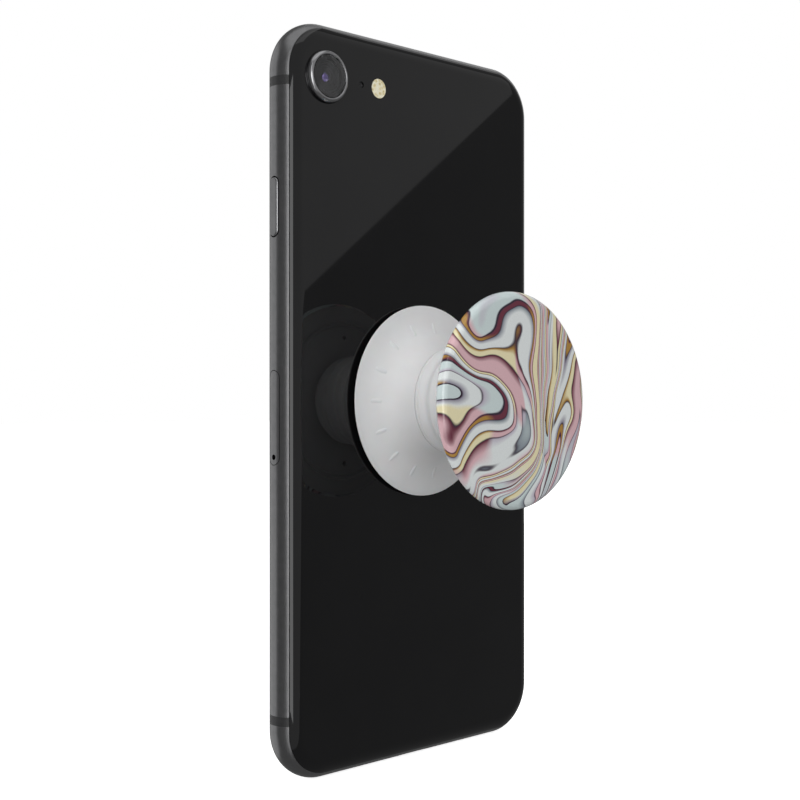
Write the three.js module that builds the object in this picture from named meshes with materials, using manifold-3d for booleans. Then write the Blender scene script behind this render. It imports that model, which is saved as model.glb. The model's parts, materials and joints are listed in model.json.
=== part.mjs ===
// A slab smartphone with a folding phone grip on its back, in millimetres.
// X runs across the display, Y from the display to the back, Z up.
// The origin is the centre of the display glass's outer face.
import * as THREE from 'three';
import { mergeVertices } from 'three/addons/utils/BufferGeometryUtils.js';
import Module from 'manifold-3d';

const wasm = await Module();
wasm.setup();

// ---------------------------------------------------------------- sizes

// The whole body: edges are rounded over from the middle of the thickness to both faces.
const phone = { width: 67.3, height: 138.4, depth: 7.3, corner: 9.7, roundOver: 3.62, land: 0.3 };
const wall = 2.4;
const glass = 0.9;

// Clearances: bonded faces, glass to frame, and faces that slide on each other.
const bond = 0.05;
const seam = 0.06;
const running = 0.12;

// The frame is split by four plastic bands.
const band = { fromEnd: 11.8, width: 1.6 };

// Layers between the glasses.
const lcd = { thickness: 1.3, sideMargin: 3.65, fromEnd: 16.2 };
const shieldPlate = { thickness: 0.2, gap: 0.08 };
const gasket = { thickness: 0.35, width: 0.7 };
const midplate = { thickness: 0.4, holeGap: 0.2 };
const coil = { thickness: 0.2, outer: 23, inner: 11 };
const layerGap = 0.08;

// Rear camera, flash and microphone, placed from the top right corner of the display side.
const camera = {
  fromSide: 9.3, fromTop: 10.2, ringRadius: 4.78, glassRadius: 3.84, proud: 1.1, glassThickness: 0.35,
  ringChamfer: 0.35, glassRecess: 0.15, moduleWidth: 9.4, moduleFloor: 0.6, barrelRadius: 3,
  barrelLength: 3.4, focusTravel: 0.3,
};
const flash = { fromSide: 22.51, radius: 1.84, ledRadius: 1.45, ledThickness: 0.9 };
const rearMic = { fromSide: 17.98, radius: 0.55, thickness: 0.7, recess: 0.15 };

// Display side: home button, earpiece and front camera.
const home = {
  fromBottom: 9.9, radius: 4.88, ringRadius: 5.45, recess: 0.18, bracketDepth: 0.75, bracketSide: 1.5,
};
const earpiece = {
  fromTop: 8.9, length: 10.8, width: 1.3, recess: 0.25, speakerWidth: 13, speakerHeight: 4.4, speakerDepth: 2,
};
const frontCamera = { fromEarpiece: 11.5, radius: 1.7, depth: 2.4 };

// Side keys: a cap through the frame, a stem behind it and a switch inside.
const key = {
  length: 10.66, width: 2.2, proud: 0.2, capDepth: 1.7, stemLength: 3, stemWidth: 1.2, stemDepth: 0.6,
  travel: 0.3, switchDepth: 1.2, switchGap: 0.1, chamfer: 0.12,
};
const keyOffset = -0.15;
const powerKeyFromTop = 34.35;
const volumeUpFromTop = 34.35;
const volumeDownFromTop = 47;
const ringSwitch = {
  fromTop: 20.6, length: 5, width: 1.6, proud: 0.3, travel: 1.2,
  plateLength: 7, plateWidth: 2.4, plateDepth: 0.4, baseDepth: 0.7, baseWidth: 1.6,
};

// SIM tray with its card, reader and ejector.
const sim = {
  fromTop: 72.23, length: 16.88, width: 2.7, offset: -0.2, headDepth: 2.6, carrierLength: 13.3,
  carrierWidth: 11.4, carrierThickness: 1, carrierShift: 1.8, rim: 0.7, floor: 0.25,
};
const simCard = { length: 12.3, width: 8.8, thickness: 0.67 };
const simReader = { wall: 0.2, gap: 0.1 };
const ejector = {
  holeFromEnd: 1.36, holeRadius: 0.6, pinRadius: 0.45, pinPlay: 0.2, leverWidth: 1, leverThickness: 0.6,
  leverGap: 1.7, pinArm: 2.5, trayArm: 5, tipOverhang: 0.6, pivotRadius: 0.8, pivotPinRadius: 0.35,
};

// Inner parts.
const sideBay = 1.85;
const board = { width: 20, thickness: 0.6, fromTop: 22, fromBottom: 27, gap: 0.2 };
const can = { margin: 1, height: 38 };
const battery = { fromTop: 19, fromBottom: 27, gap: 1 };
const port = { width: 8.3, height: 2.7, depth: 7.6, wall: 0.4, back: 0.8 };
const haptic = {
  length: 23, height: 10, fromBottom: 10.7, fromSide: 2.2, wall: 0.4, travel: 0.8, massGap: 0.15,
};
const loudspeaker = { height: 16, fromBottom: 6.2, fromSide: 1.75, fromPort: 3 };
const speakerHoles = { count: 6, first: 12.9, pitch: 2.3, radius: 0.75, meshThickness: 0.2, meshMargin: 0.2 };
const bottomScrew = { offset: 8.3, radius: 0.75, length: 3.2, recessRadius: 0.4, recessDepth: 0.6 };

// Folding grip: heights are measured out from the back glass.
const grip = {
  padRadius: 16.6, padThickness: 0.8, baseRadius: 18.42, baseThickness: 0.45,
  coneWall: 0.8, footRadius: 17.97, sweepOut: 0.6, sweepRise: 0.5,
  neckRadius: 10, ringHeight: 8.3, ringThickness: 0.7, ringBore: 8.45, folds: 4, foldDepth: 0.75,
  hubRadius: 8.2, hubThickness: 1.6, topRidgeRadius: 8.5, discRadius: 19.93, discThickness: 3,
  discRound: 1.33, discFootRadius: 16.9, discFootDrop: 1, discTaper: 0.45, height: 24.9,
  fitGap: 0.06,
};

// Facets on a full circle: small rounds, such as pins and screws, take fewer.
const largeRound = 36;
const smallRound = 12;
const smallRadius = 1.5;

// ---------------------------------------------------------------- derived places

const halfWidth = phone.width / 2;
const halfHeight = phone.height / 2;
const midDepth = phone.depth / 2;
const cavity = { halfWidth: halfWidth - wall, halfHeight: halfHeight - wall, corner: phone.corner - wall };

const frameFront = glass + seam;
const backGlassFront = phone.depth - glass;
const frameBack = backGlassFront - seam;
const lcdBack = frameFront + lcd.thickness;
const shieldFront = lcdBack + shieldPlate.gap;
const bayFront = shieldFront + shieldPlate.thickness + layerGap;
const coilBack = frameBack - layerGap / 2;
const midplateBack = coilBack - coil.thickness - layerGap;
const midplateFront = midplateBack - midplate.thickness;
const bayBack = midplateFront - layerGap;

const cameraX = halfWidth - camera.fromSide;
const rearRowZ = halfHeight - camera.fromTop;
const flashX = halfWidth - flash.fromSide;
const micX = halfWidth - rearMic.fromSide;
const homeZ = -halfHeight + home.fromBottom;
const earpieceZ = halfHeight - earpiece.fromTop;
const keyY = midDepth + keyOffset;
const ringSwitchZ = halfHeight - ringSwitch.fromTop;

const simZ = halfHeight - sim.fromTop;
const simY = midDepth + sim.offset;
const simCarrierZ = simZ + sim.carrierShift;
const simCarrierEnd = cavity.halfWidth - sim.carrierLength;
const readerHalfDepth = sim.carrierThickness / 2 + simReader.gap + simReader.wall;
const boardFront = simY + readerHalfDepth + board.gap;
const boardRight = cavity.halfWidth - sideBay - board.gap;
const boardLeft = boardRight - board.width;

const ejectZ = simZ - sim.length / 2 + ejector.holeFromEnd;
const leverX = simCarrierEnd - ejector.leverGap - ejector.leverWidth / 2;
const leverZ = ejectZ + ejector.pinArm;

// ---------------------------------------------------------------- solids

// A closed three.js geometry as a solid, with shared corners merged and flat triangles dropped.
function solidOf(geometry) {
  const bare = geometry.clone();
  bare.deleteAttribute('normal');
  bare.deleteAttribute('uv');
  const merged = mergeVertices(bare);
  const index = merged.index.array;
  const triangles = [];
  for (let i = 0; i < index.length; i += 3) {
    const [a, b, c] = [index[i], index[i + 1], index[i + 2]];
    if (a !== b && b !== c && c !== a) triangles.push(a, b, c);
  }
  return new wasm.Manifold(new wasm.Mesh({
    numProp: 3,
    vertProperties: new Float32Array(merged.attributes.position.array),
    triVerts: new Uint32Array(triangles),
  }));
}

// A solid back as a named three.js mesh.
function meshOf(name, solid, material) {
  const { vertProperties, triVerts } = solid.getMesh();
  const geometry = new THREE.BufferGeometry();
  geometry.setAttribute('position', new THREE.BufferAttribute(new Float32Array(vertProperties), 3));
  geometry.setIndex(new THREE.BufferAttribute(new Uint32Array(triVerts), 1));
  geometry.computeVertexNormals();
  const mesh = new THREE.Mesh(geometry, material);
  mesh.name = name;
  return mesh;
}

function block(x0, x1, y0, y1, z0, z1) {
  const geometry = new THREE.BoxGeometry(x1 - x0, y1 - y0, z1 - z0);
  geometry.translate((x0 + x1) / 2, (y0 + y1) / 2, (z0 + z1) / 2);
  return solidOf(geometry);
}

// A rounded rectangle outline about (cx, cy).
function roundedRect(cx, cy, width, height, radius) {
  const [x, y] = [cx + width / 2 - radius, cy + height / 2 - radius];
  const [u, v] = [cx - width / 2 + radius, cy - height / 2 + radius];
  const shape = new THREE.Shape();
  shape.absarc(x, y, radius, 0, Math.PI / 2);
  shape.absarc(u, y, radius, Math.PI / 2, Math.PI);
  shape.absarc(u, v, radius, Math.PI, 1.5 * Math.PI);
  shape.absarc(x, v, radius, 1.5 * Math.PI, 2 * Math.PI);
  shape.closePath();
  return shape;
}

// A slot outline, longer in its first direction, with full round ends.
function slotOutline(cx, cy, length, width) {
  const radius = width / 2;
  const shape = new THREE.Shape();
  shape.absarc(cx + length / 2 - radius, cy, radius, -Math.PI / 2, Math.PI / 2);
  shape.absarc(cx - length / 2 + radius, cy, radius, Math.PI / 2, 1.5 * Math.PI);
  shape.closePath();
  return shape;
}

// An outline in X and Z, extruded along Y.
function plate(shape, y0, y1, segments = 8) {
  const geometry = new THREE.ExtrudeGeometry(shape, {
    depth: y1 - y0, bevelEnabled: false, curveSegments: segments,
  });
  geometry.rotateX(Math.PI / 2);
  geometry.translate(0, y1, 0);
  return solidOf(geometry);
}

// An outline drawn in -Z and Y, extruded along X, with chamfered ends.
function sidePrism(outline, x0, x1, chamfer = 0) {
  const geometry = new THREE.ExtrudeGeometry(outline, {
    depth: x1 - x0 - 2 * chamfer, curveSegments: 8, bevelEnabled: chamfer > 0, bevelThickness: chamfer,
    bevelSize: chamfer, bevelOffset: -chamfer, bevelSegments: 1,
  });
  geometry.rotateY(Math.PI / 2);
  geometry.translate(x0 + chamfer, 0, 0);
  return solidOf(geometry);
}

// A rounded outline in X and Y, extruded along Z.
function endPrism(centreX, centreY, width, height, z0, z1) {
  const geometry = new THREE.ExtrudeGeometry(slotOutline(centreX, centreY, width, height), {
    depth: z1 - z0, bevelEnabled: false, curveSegments: 6,
  });
  geometry.translate(0, 0, z0);
  return solidOf(geometry);
}

// A round bar between two places on the X, Y or Z axis through (a, b) in the other two.
function bar(axis, a, b, radius, from, to, segments = radius < smallRadius ? smallRound : largeRound) {
  const geometry = new THREE.CylinderGeometry(radius, radius, to - from, segments);
  const middle = (from + to) / 2;
  if (axis === 'x') geometry.rotateZ(-Math.PI / 2).translate(middle, a, b);
  if (axis === 'y') geometry.translate(a, middle, b);
  if (axis === 'z') geometry.rotateX(Math.PI / 2).translate(a, b, middle);
  return solidOf(geometry);
}

// A turned piece about the Y axis through (x, z), from [radius, y] points.
function turned(points, x = 0, z = 0) {
  const geometry = new THREE.LatheGeometry(points.map(([r, y]) => new THREE.Vector2(r, y)), largeRound);
  geometry.translate(x, 0, z);
  return solidOf(geometry);
}

// A flat ring about the Y axis.
function washer(x, z, outer, inner, y0, y1) {
  return turned([[inner, y0], [outer, y0], [outer, y1], [inner, y1], [inner, y0]], x, z);
}

// The whole rounded body without any cut.
function envelope() {
  const bevel = (phone.depth - phone.land) / 2;
  const outline = roundedRect(0, 0, phone.width, phone.height, phone.corner);
  const geometry = new THREE.ExtrudeGeometry(outline, {
    depth: phone.land, curveSegments: 8, bevelThickness: bevel, bevelSize: phone.roundOver,
    bevelOffset: -phone.roundOver, bevelSegments: 6,
  });
  geometry.rotateX(Math.PI / 2);
  geometry.translate(0, phone.depth - bevel, 0);
  return solidOf(geometry);
}

const whole = envelope();
const reach = phone.width + phone.height;

// The part of the body between two depths.
function layer(y0, y1) {
  return whole.intersect(block(-reach, reach, y0, y1, -reach, reach));
}

// A plate of the cavity's outline, held back from the frame by a margin.
function cavityPlate(margin, y0, y1) {
  const width = 2 * (cavity.halfWidth - margin);
  const height = 2 * (cavity.halfHeight - margin);
  return plate(roundedRect(0, 0, width, height, cavity.corner - margin), y0, y1);
}

// ---------------------------------------------------------------- materials

function finish(colour, roughness, metalness) {
  return new THREE.MeshStandardMaterial({ color: colour, roughness, metalness });
}

const darkAluminium = finish(0x57585a, 0.42, 0.9);
const blackGlass = finish(0x050505, 0.05, 0);
const darkPlastic = finish(0x2e2f30, 0.5, 0);
const steel = finish(0xa9abad, 0.35, 1);
const green = finish(0x1f4a37, 0.6, 0);
const blackCell = finish(0x17181a, 0.55, 0);
const copper = finish(0xb26a3c, 0.35, 1);
const cream = finish(0xe8d58e, 0.3, 0);
const whitePlastic = finish(0xe9e9ea, 0.45, 0);
const marbled = finish(0xb9c6cc, 0.2, 0);
const cardWhite = finish(0xdedfe0, 0.5, 0);
const tungsten = finish(0x6c6e70, 0.4, 1);

const phoneWithGrip = new THREE.Group();

function add(name, solid, material) {
  phoneWithGrip.add(meshOf(name, solid, material));
}

// ---------------------------------------------------------------- frame

// Side holes are cut a running clearance wider than the piece that moves in them.
function keyHole(centreZ, side) {
  const [x0, x1] = side > 0 ? [0, reach] : [-reach, 0];
  return sidePrism(slotOutline(-centreZ, keyY, key.length + 2 * running, key.width + 2 * running), x0, x1);
}

function ringSwitchHole() {
  const width = ringSwitch.width + ringSwitch.travel + 2 * running;
  const length = ringSwitch.length + 2 * running;
  const corner = ringSwitch.width / 2 + running;
  return sidePrism(roundedRect(-ringSwitchZ, keyY, length, width, corner), -reach, 0);
}

function simHole() {
  return sidePrism(slotOutline(-simZ, simY, sim.length + 2 * running, sim.width + 2 * running), 0, reach);
}

// The places of one row of speaker holes, on the side that sign gives.
function speakerHoleXs(sign) {
  const { count, first, pitch } = speakerHoles;
  return Array.from({ length: count }, (_, i) => sign * (first + i * pitch));
}

function bottomHoles() {
  const around = 2 * (port.wall + bond);
  let holes = endPrism(0, midDepth, port.width + around, port.height + around, -reach, 0);
  for (const sign of [-1, 1]) {
    holes = holes.add(bar('z', sign * bottomScrew.offset, midDepth, bottomScrew.radius + bond, -reach, 0));
    for (const x of speakerHoleXs(sign)) {
      holes = holes.add(bar('z', x, midDepth, speakerHoles.radius, -reach, 0));
    }
  }
  return holes;
}

function addFrame() {
  const ring = layer(frameFront, frameBack).subtract(cavityPlate(0, -1, reach));
  const bandMiddle = halfHeight - band.fromEnd;
  const [bandLow, bandHigh] = [bandMiddle - band.width / 2, bandMiddle + band.width / 2];
  const strip = (z0, z1, x0 = -reach, x1 = reach) => ring.intersect(block(x0, x1, -1, reach, z0, z1));

  add('frame_top', strip(bandHigh + bond, reach), darkAluminium);
  add('frame_bottom', strip(-reach, -bandHigh - bond).subtract(bottomHoles()), darkAluminium);

  const leftHoles = keyHole(halfHeight - volumeUpFromTop, -1)
    .add(keyHole(halfHeight - volumeDownFromTop, -1))
    .add(ringSwitchHole());
  const rightHoles = keyHole(halfHeight - powerKeyFromTop, 1).add(simHole());
  const railEnd = bandLow - bond;
  add('frame_rail_left', strip(-railEnd, railEnd, -reach, 0).subtract(leftHoles), darkAluminium);
  add('frame_rail_right', strip(-railEnd, railEnd, 0, reach).subtract(rightHoles), darkAluminium);

  add('antenna_band_top_left', strip(bandLow, bandHigh, -reach, 0), darkPlastic);
  add('antenna_band_top_right', strip(bandLow, bandHigh, 0, reach), darkPlastic);
  add('antenna_band_bottom_left', strip(-bandHigh, -bandLow, -reach, 0), darkPlastic);
  add('antenna_band_bottom_right', strip(-bandHigh, -bandLow, 0, reach), darkPlastic);
}

// ---------------------------------------------------------------- glasses and display

function addGlasses() {
  const rearHoles = bar('y', cameraX, rearRowZ, camera.ringRadius + bond, 0, reach)
    .add(bar('y', flashX, rearRowZ, flash.radius + bond, 0, reach))
    .add(bar('y', micX, rearRowZ, rearMic.radius + bond, 0, reach));
  add('back_glass', layer(backGlassFront, reach).subtract(rearHoles), blackGlass);

  const frontHoles = bar('y', 0, homeZ, home.ringRadius + bond, -1, reach)
    .add(plate(slotOutline(0, earpieceZ, earpiece.length, earpiece.width), -1, reach));
  add('display_glass', layer(-1, glass).subtract(frontHoles), blackGlass);
}

function addDisplay() {
  const gasketBack = frameFront + gasket.thickness;
  const gasketRing = cavityPlate(bond, frameFront, gasketBack)
    .subtract(cavityPlate(bond + gasket.width, -1, reach));
  add('display_gasket', gasketRing, darkPlastic);

  const x = halfWidth - lcd.sideMargin;
  const z = halfHeight - lcd.fromEnd;
  const shieldBack = shieldFront + shieldPlate.thickness;
  add('lcd_panel', block(-x, x, frameFront, lcdBack, -z, z), blackCell);
  add('display_shield', block(-x, x, shieldFront, shieldBack, -z, z), steel);
}

function addHomeButton() {
  const ringBack = glass + seam;
  add('home_button_ring', washer(0, homeZ, home.ringRadius, home.radius + bond, 0, ringBack), darkAluminium);
  add('home_button', bar('y', 0, homeZ, home.radius, home.recess, ringBack), blackGlass);
  const x = home.ringRadius + home.bracketSide;
  const bracketFront = ringBack + bond;
  const bracketBack = bracketFront + home.bracketDepth;
  const [z0, z1] = [homeZ - home.ringRadius, homeZ + home.ringRadius];
  add('home_button_bracket', block(-x, x, bracketFront, bracketBack, z0, z1), steel);
}

function addEarpiece() {
  const meshOutline = slotOutline(0, earpieceZ, earpiece.length - 2 * bond, earpiece.width - 2 * bond);
  add('earpiece_mesh', plate(meshOutline, earpiece.recess, glass), darkPlastic);

  const x = earpiece.speakerWidth / 2;
  const speakerFront = frameFront + gasket.thickness;
  const speakerBack = speakerFront + earpiece.speakerDepth;
  const [z0, z1] = [earpieceZ - earpiece.speakerHeight / 2, earpieceZ + earpiece.speakerHeight / 2];
  add('earpiece_speaker', block(-x, x, speakerFront, speakerBack, z0, z1), steel);

  const lensBack = frameFront + frontCamera.depth;
  const lensX = -frontCamera.fromEarpiece;
  add('front_camera', bar('y', lensX, earpieceZ, frontCamera.radius, frameFront, lensBack), blackCell);
}

// ---------------------------------------------------------------- rear camera

function addCamera() {
  // A round piece on the camera's axis.
  const lensPiece = (radius, y0, y1) => bar('y', cameraX, rearRowZ, radius, y0, y1);

  const ringBack = phone.depth + camera.proud;
  const ring = turned([
    [camera.glassRadius + bond, backGlassFront],
    [camera.ringRadius, backGlassFront],
    [camera.ringRadius, ringBack - camera.ringChamfer],
    [camera.ringRadius - camera.ringChamfer, ringBack],
    [camera.glassRadius + bond, ringBack],
    [camera.glassRadius + bond, backGlassFront],
  ], cameraX, rearRowZ);
  add('camera_ring', ring, darkAluminium);

  const glassBack = ringBack - camera.glassRecess;
  const glassFront = glassBack - camera.glassThickness;
  add('camera_cover_glass', lensPiece(camera.glassRadius, glassFront, glassBack), blackGlass);

  const half = camera.moduleWidth / 2;
  const bore = lensPiece(camera.barrelRadius + running, bayFront + camera.moduleFloor, reach);
  const moduleBack = frameBack - layerGap;
  const [z0, z1] = [rearRowZ - half, rearRowZ + half];
  const housing = block(cameraX - half, cameraX + half, bayFront, moduleBack, z0, z1);
  add('camera_module', housing.subtract(bore), darkPlastic);

  const barrelBack = glassFront - camera.focusTravel - running;
  const barrelFront = barrelBack - camera.barrelLength;
  add('camera_lens_barrel', lensPiece(camera.barrelRadius, barrelFront, barrelBack), blackCell);
}

function addFlashAndMicrophone() {
  add('flash_window', bar('y', flashX, rearRowZ, flash.radius, backGlassFront, phone.depth), cream);
  const ledBack = backGlassFront - layerGap;
  add('flash_led', bar('y', flashX, rearRowZ, flash.ledRadius, ledBack - flash.ledThickness, ledBack), cream);
  const micBack = phone.depth - rearMic.recess;
  const micFront = micBack - rearMic.thickness;
  add('rear_microphone', bar('y', micX, rearRowZ, rearMic.radius, micFront, micBack), darkPlastic);
}

function addMidplate() {
  const half = camera.moduleWidth / 2 + midplate.holeGap;
  const cameraHole = block(cameraX - half, cameraX + half, -1, reach, rearRowZ - half, rearRowZ + half);
  const flashHole = bar('y', flashX, rearRowZ, flash.ledRadius + midplate.holeGap, -1, reach);
  const sheet = cavityPlate(bond, midplateFront, midplateBack);
  add('midplate', sheet.subtract(cameraHole).subtract(flashHole), steel);
  add('charging_coil', washer(0, 0, coil.outer, coil.inner, coilBack - coil.thickness, coilBack), copper);
}

// ---------------------------------------------------------------- side keys

// A key cap with its stem; side is +1 on the right rail and -1 on the left.
function keySolid(centreZ, side) {
  const face = halfWidth + key.proud;
  const capInner = face - key.capDepth;
  const cap = sidePrism(slotOutline(-centreZ, keyY, key.length, key.width), capInner, face, key.chamfer);
  const stem = block(capInner - key.stemDepth, capInner + key.stemDepth, keyY - key.stemWidth / 2,
    keyY + key.stemWidth / 2, centreZ - key.stemLength / 2, centreZ + key.stemLength / 2);
  const solid = cap.add(stem);
  return side > 0 ? solid : solid.mirror([1, 0, 0]);
}

// The switch that a key's stem presses, just past the end of its travel.
function keySwitch(centreZ, side) {
  const stemEnd = halfWidth + key.proud - key.capDepth - key.stemDepth;
  const back = stemEnd - key.travel - key.switchGap;
  const half = key.stemWidth / 2 + key.switchGap;
  const solid = block(back - key.switchDepth, back, keyY - half, keyY + half, centreZ - key.stemLength,
    centreZ + key.stemLength);
  return side > 0 ? solid : solid.mirror([1, 0, 0]);
}

function addKeys() {
  const powerZ = halfHeight - powerKeyFromTop;
  const upZ = halfHeight - volumeUpFromTop;
  const downZ = halfHeight - volumeDownFromTop;
  add('power_button', keySolid(powerZ, 1), darkAluminium);
  add('power_switch', keySwitch(powerZ, 1), steel);
  add('volume_up_button', keySolid(upZ, -1), darkAluminium);
  add('volume_up_switch', keySwitch(upZ, -1), steel);
  add('volume_down_button', keySolid(downZ, -1), darkAluminium);
  add('volume_down_switch', keySwitch(downZ, -1), steel);
}

// The ring switch rests at the display end of its slot.
function addRingSwitch() {
  const restY = keyY - ringSwitch.travel / 2;
  const plateBack = cavity.halfWidth - running;
  const plateInner = plateBack - ringSwitch.plateDepth;
  const lever = sidePrism(slotOutline(-ringSwitchZ, restY, ringSwitch.length, ringSwitch.width), plateInner,
    halfWidth + ringSwitch.proud);
  const [z0, z1] = [ringSwitchZ - ringSwitch.plateLength / 2, ringSwitchZ + ringSwitch.plateLength / 2];
  const sliderHalf = ringSwitch.plateWidth / 2;
  const slider = block(plateInner, plateBack, restY - sliderHalf, restY + sliderHalf, z0, z1);
  add('ring_switch', lever.add(slider).mirror([1, 0, 0]), darkAluminium);
  const baseBack = plateInner - running;
  const baseHalf = ringSwitch.baseWidth / 2;
  const base = block(baseBack - ringSwitch.baseDepth, baseBack, keyY - baseHalf, keyY + baseHalf, z0, z1);
  add('ring_switch_base', base.mirror([1, 0, 0]), steel);
}

// ---------------------------------------------------------------- SIM tray

function addSimTray() {
  const headInner = halfWidth - sim.headDepth;
  const head = whole.intersect(sidePrism(slotOutline(-simZ, simY, sim.length, sim.width), headInner, reach));
  const half = sim.carrierWidth / 2;
  const [y0, y1] = [simY - sim.carrierThickness / 2, simY + sim.carrierThickness / 2];
  const carrier = block(simCarrierEnd, headInner + 0.2, y0, y1, simCarrierZ - half, simCarrierZ + half);
  const pocketX0 = simCarrierEnd + sim.rim;
  const pocketX1 = pocketX0 + simCard.length + 2 * bond;
  const pocketHalf = simCard.width / 2 + bond;
  const pocket = block(pocketX0, pocketX1, y0 + sim.floor, y1 + 1, simCarrierZ - pocketHalf,
    simCarrierZ + pocketHalf);
  const ledge = 1;
  const window = block(pocketX0 + ledge, pocketX1 - ledge, y0 - 1, y1 + 1, simCarrierZ - pocketHalf + ledge,
    simCarrierZ + pocketHalf - ledge);
  const ejectHole = bar('x', simY, ejectZ, ejector.holeRadius, 0, reach);
  add('sim_tray', head.add(carrier).subtract(pocket).subtract(window).subtract(ejectHole), darkAluminium);

  const cardFront = y0 + sim.floor + bond;
  add('sim_card', block(pocketX0 + bond, pocketX1 - bond, cardFront, cardFront + simCard.thickness,
    simCarrierZ - simCard.width / 2, simCarrierZ + simCard.width / 2), cardWhite);
}

function addSimReader() {
  const inner = { z: sim.carrierWidth / 2 + simReader.gap, y: sim.carrierThickness / 2 + simReader.gap };
  const outer = { z: inner.z + simReader.wall, y: readerHalfDepth };
  const [x0, x1] = [simCarrierEnd - simReader.gap, cavity.halfWidth - sim.rim];
  const sleeve = (a, b, { y, z }) => block(a, b, simY - y, simY + y, simCarrierZ - z, simCarrierZ + z);
  add('sim_reader', sleeve(x0, x1, outer).subtract(sleeve(x0 - 1, x1 + 1, inner)), steel);
}

// A push pin behind the small hole turns a lever, whose long arm pushes the tray out.
function addEjector() {
  const leverFace = leverX + ejector.leverWidth / 2;
  const pinBack = halfWidth - sim.headDepth - running;
  const pinFront = leverFace + ejector.pinPlay;
  add('sim_eject_pin', bar('x', simY, ejectZ, ejector.pinRadius, pinFront, pinBack), steel);

  const [y0, y1] = [simY - ejector.leverThickness / 2, simY + ejector.leverThickness / 2];
  const bottom = leverZ - ejector.pinArm - ejector.tipOverhang;
  const arm = block(leverX - ejector.leverWidth / 2, leverFace, y0, y1, bottom, leverZ + ejector.trayArm);
  const boss = bar('y', leverX, leverZ, ejector.pivotRadius, y0, y1);
  const eye = bar('y', leverX, leverZ, ejector.pivotPinRadius + bond, y0 - 1, y1 + 1);
  add('sim_eject_lever', arm.add(boss).subtract(eye), steel);
  const [pivotFront, pivotBack] = [simY - readerHalfDepth, boardFront - bond];
  add('sim_lever_pivot', bar('y', leverX, leverZ, ejector.pivotPinRadius, pivotFront, pivotBack), steel);
}

// ---------------------------------------------------------------- inner parts

function addBoard() {
  const [z0, z1] = [-halfHeight + board.fromBottom, halfHeight - board.fromTop];
  add('logic_board', block(boardLeft, boardRight, boardFront, boardFront + board.thickness, z0, z1), green);
  add('board_shield', block(boardLeft + can.margin, boardRight - can.margin, bayFront, boardFront - board.gap,
    z1 - can.margin - can.height, z1 - can.margin), steel);
}

function addBattery() {
  add('battery', block(-cavity.halfWidth + sideBay, boardLeft - battery.gap, bayFront, bayBack,
    -halfHeight + battery.fromBottom, halfHeight - battery.fromTop), blackCell);
}

function addHaptic() {
  const x0 = -cavity.halfWidth + haptic.fromSide;
  const z0 = -halfHeight + haptic.fromBottom;
  const [x1, z1] = [x0 + haptic.length, z0 + haptic.height];
  const inside = haptic.wall;
  const tub = block(x0, x1, bayFront, bayBack, z0, z1)
    .subtract(block(x0 + inside, x1 - inside, bayFront - 1, bayBack - inside, z0 + inside, z1 - inside));
  add('haptic_case', tub, steel);
  const play = haptic.travel + haptic.massGap;
  const gap = inside + haptic.massGap;
  add('haptic_mass', block(x0 + inside + play, x1 - inside - play, bayFront + haptic.massGap, bayBack - gap,
    z0 + gap, z1 - gap), tungsten);
}

function addLoudspeaker() {
  const x0 = port.width / 2 + port.wall + loudspeaker.fromPort;
  const z0 = -halfHeight + loudspeaker.fromBottom;
  add('loudspeaker', block(x0, cavity.halfWidth - loudspeaker.fromSide, bayFront, bayBack, z0,
    z0 + loudspeaker.height), blackCell);
}

function addBottomEnd() {
  const portOuter = endPrism(0, midDepth, port.width + 2 * port.wall, port.height + 2 * port.wall,
    -reach, -halfHeight + port.depth + port.back);
  const portInner = endPrism(0, midDepth, port.width, port.height, -reach, -halfHeight + port.depth);
  add('charge_port', whole.intersect(portOuter).subtract(portInner), steel);

  for (const [side, sign] of [['left', -1], ['right', 1]]) {
    const x = sign * bottomScrew.offset;
    const head = -halfHeight + bond;
    const screw = bar('z', x, midDepth, bottomScrew.radius, head, head + bottomScrew.length)
      .subtract(bar('z', x, midDepth, bottomScrew.recessRadius, head - 1, head + bottomScrew.recessDepth, 5));
    add(`screw_${side}`, screw, steel);

    const holeXs = speakerHoleXs(sign);
    const reachX = speakerHoles.radius + speakerHoles.meshMargin;
    const meshBottom = -cavity.halfHeight + 2 * bond;
    const meshSolid = block(Math.min(...holeXs) - reachX, Math.max(...holeXs) + reachX, midDepth - reachX,
      midDepth + reachX, meshBottom, meshBottom + speakerHoles.meshThickness);
    add(`speaker_mesh_${side}`, meshSolid.intersect(cavityPlate(bond, -1, reach)), darkPlastic);
  }
}

// ---------------------------------------------------------------- grip

// Heights above the back glass as Y places.
const above = (height) => phone.depth + height;

// The soft foot: a shallow dish at its rim that sweeps up to the neck.
function lowerConeProfile() {
  const footY = above(grip.padThickness + grip.baseThickness + 2 * grip.fitGap);
  const neckY = above(grip.ringHeight - grip.fitGap);
  const sweep = new THREE.QuadraticBezierCurve(
    new THREE.Vector2(grip.footRadius, footY),
    new THREE.Vector2(grip.neckRadius + grip.sweepOut, footY + grip.sweepRise),
    new THREE.Vector2(grip.neckRadius, neckY),
  );
  const outer = sweep.getPoints(7).map((p) => [p.x, p.y]);
  const inner = outer.slice(1).reverse().map(([r, y]) => [r - grip.coneWall, y]);
  const heel = [grip.footRadius - 2 * grip.coneWall, footY];
  return [heel, ...outer, ...inner, heel];
}

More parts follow.
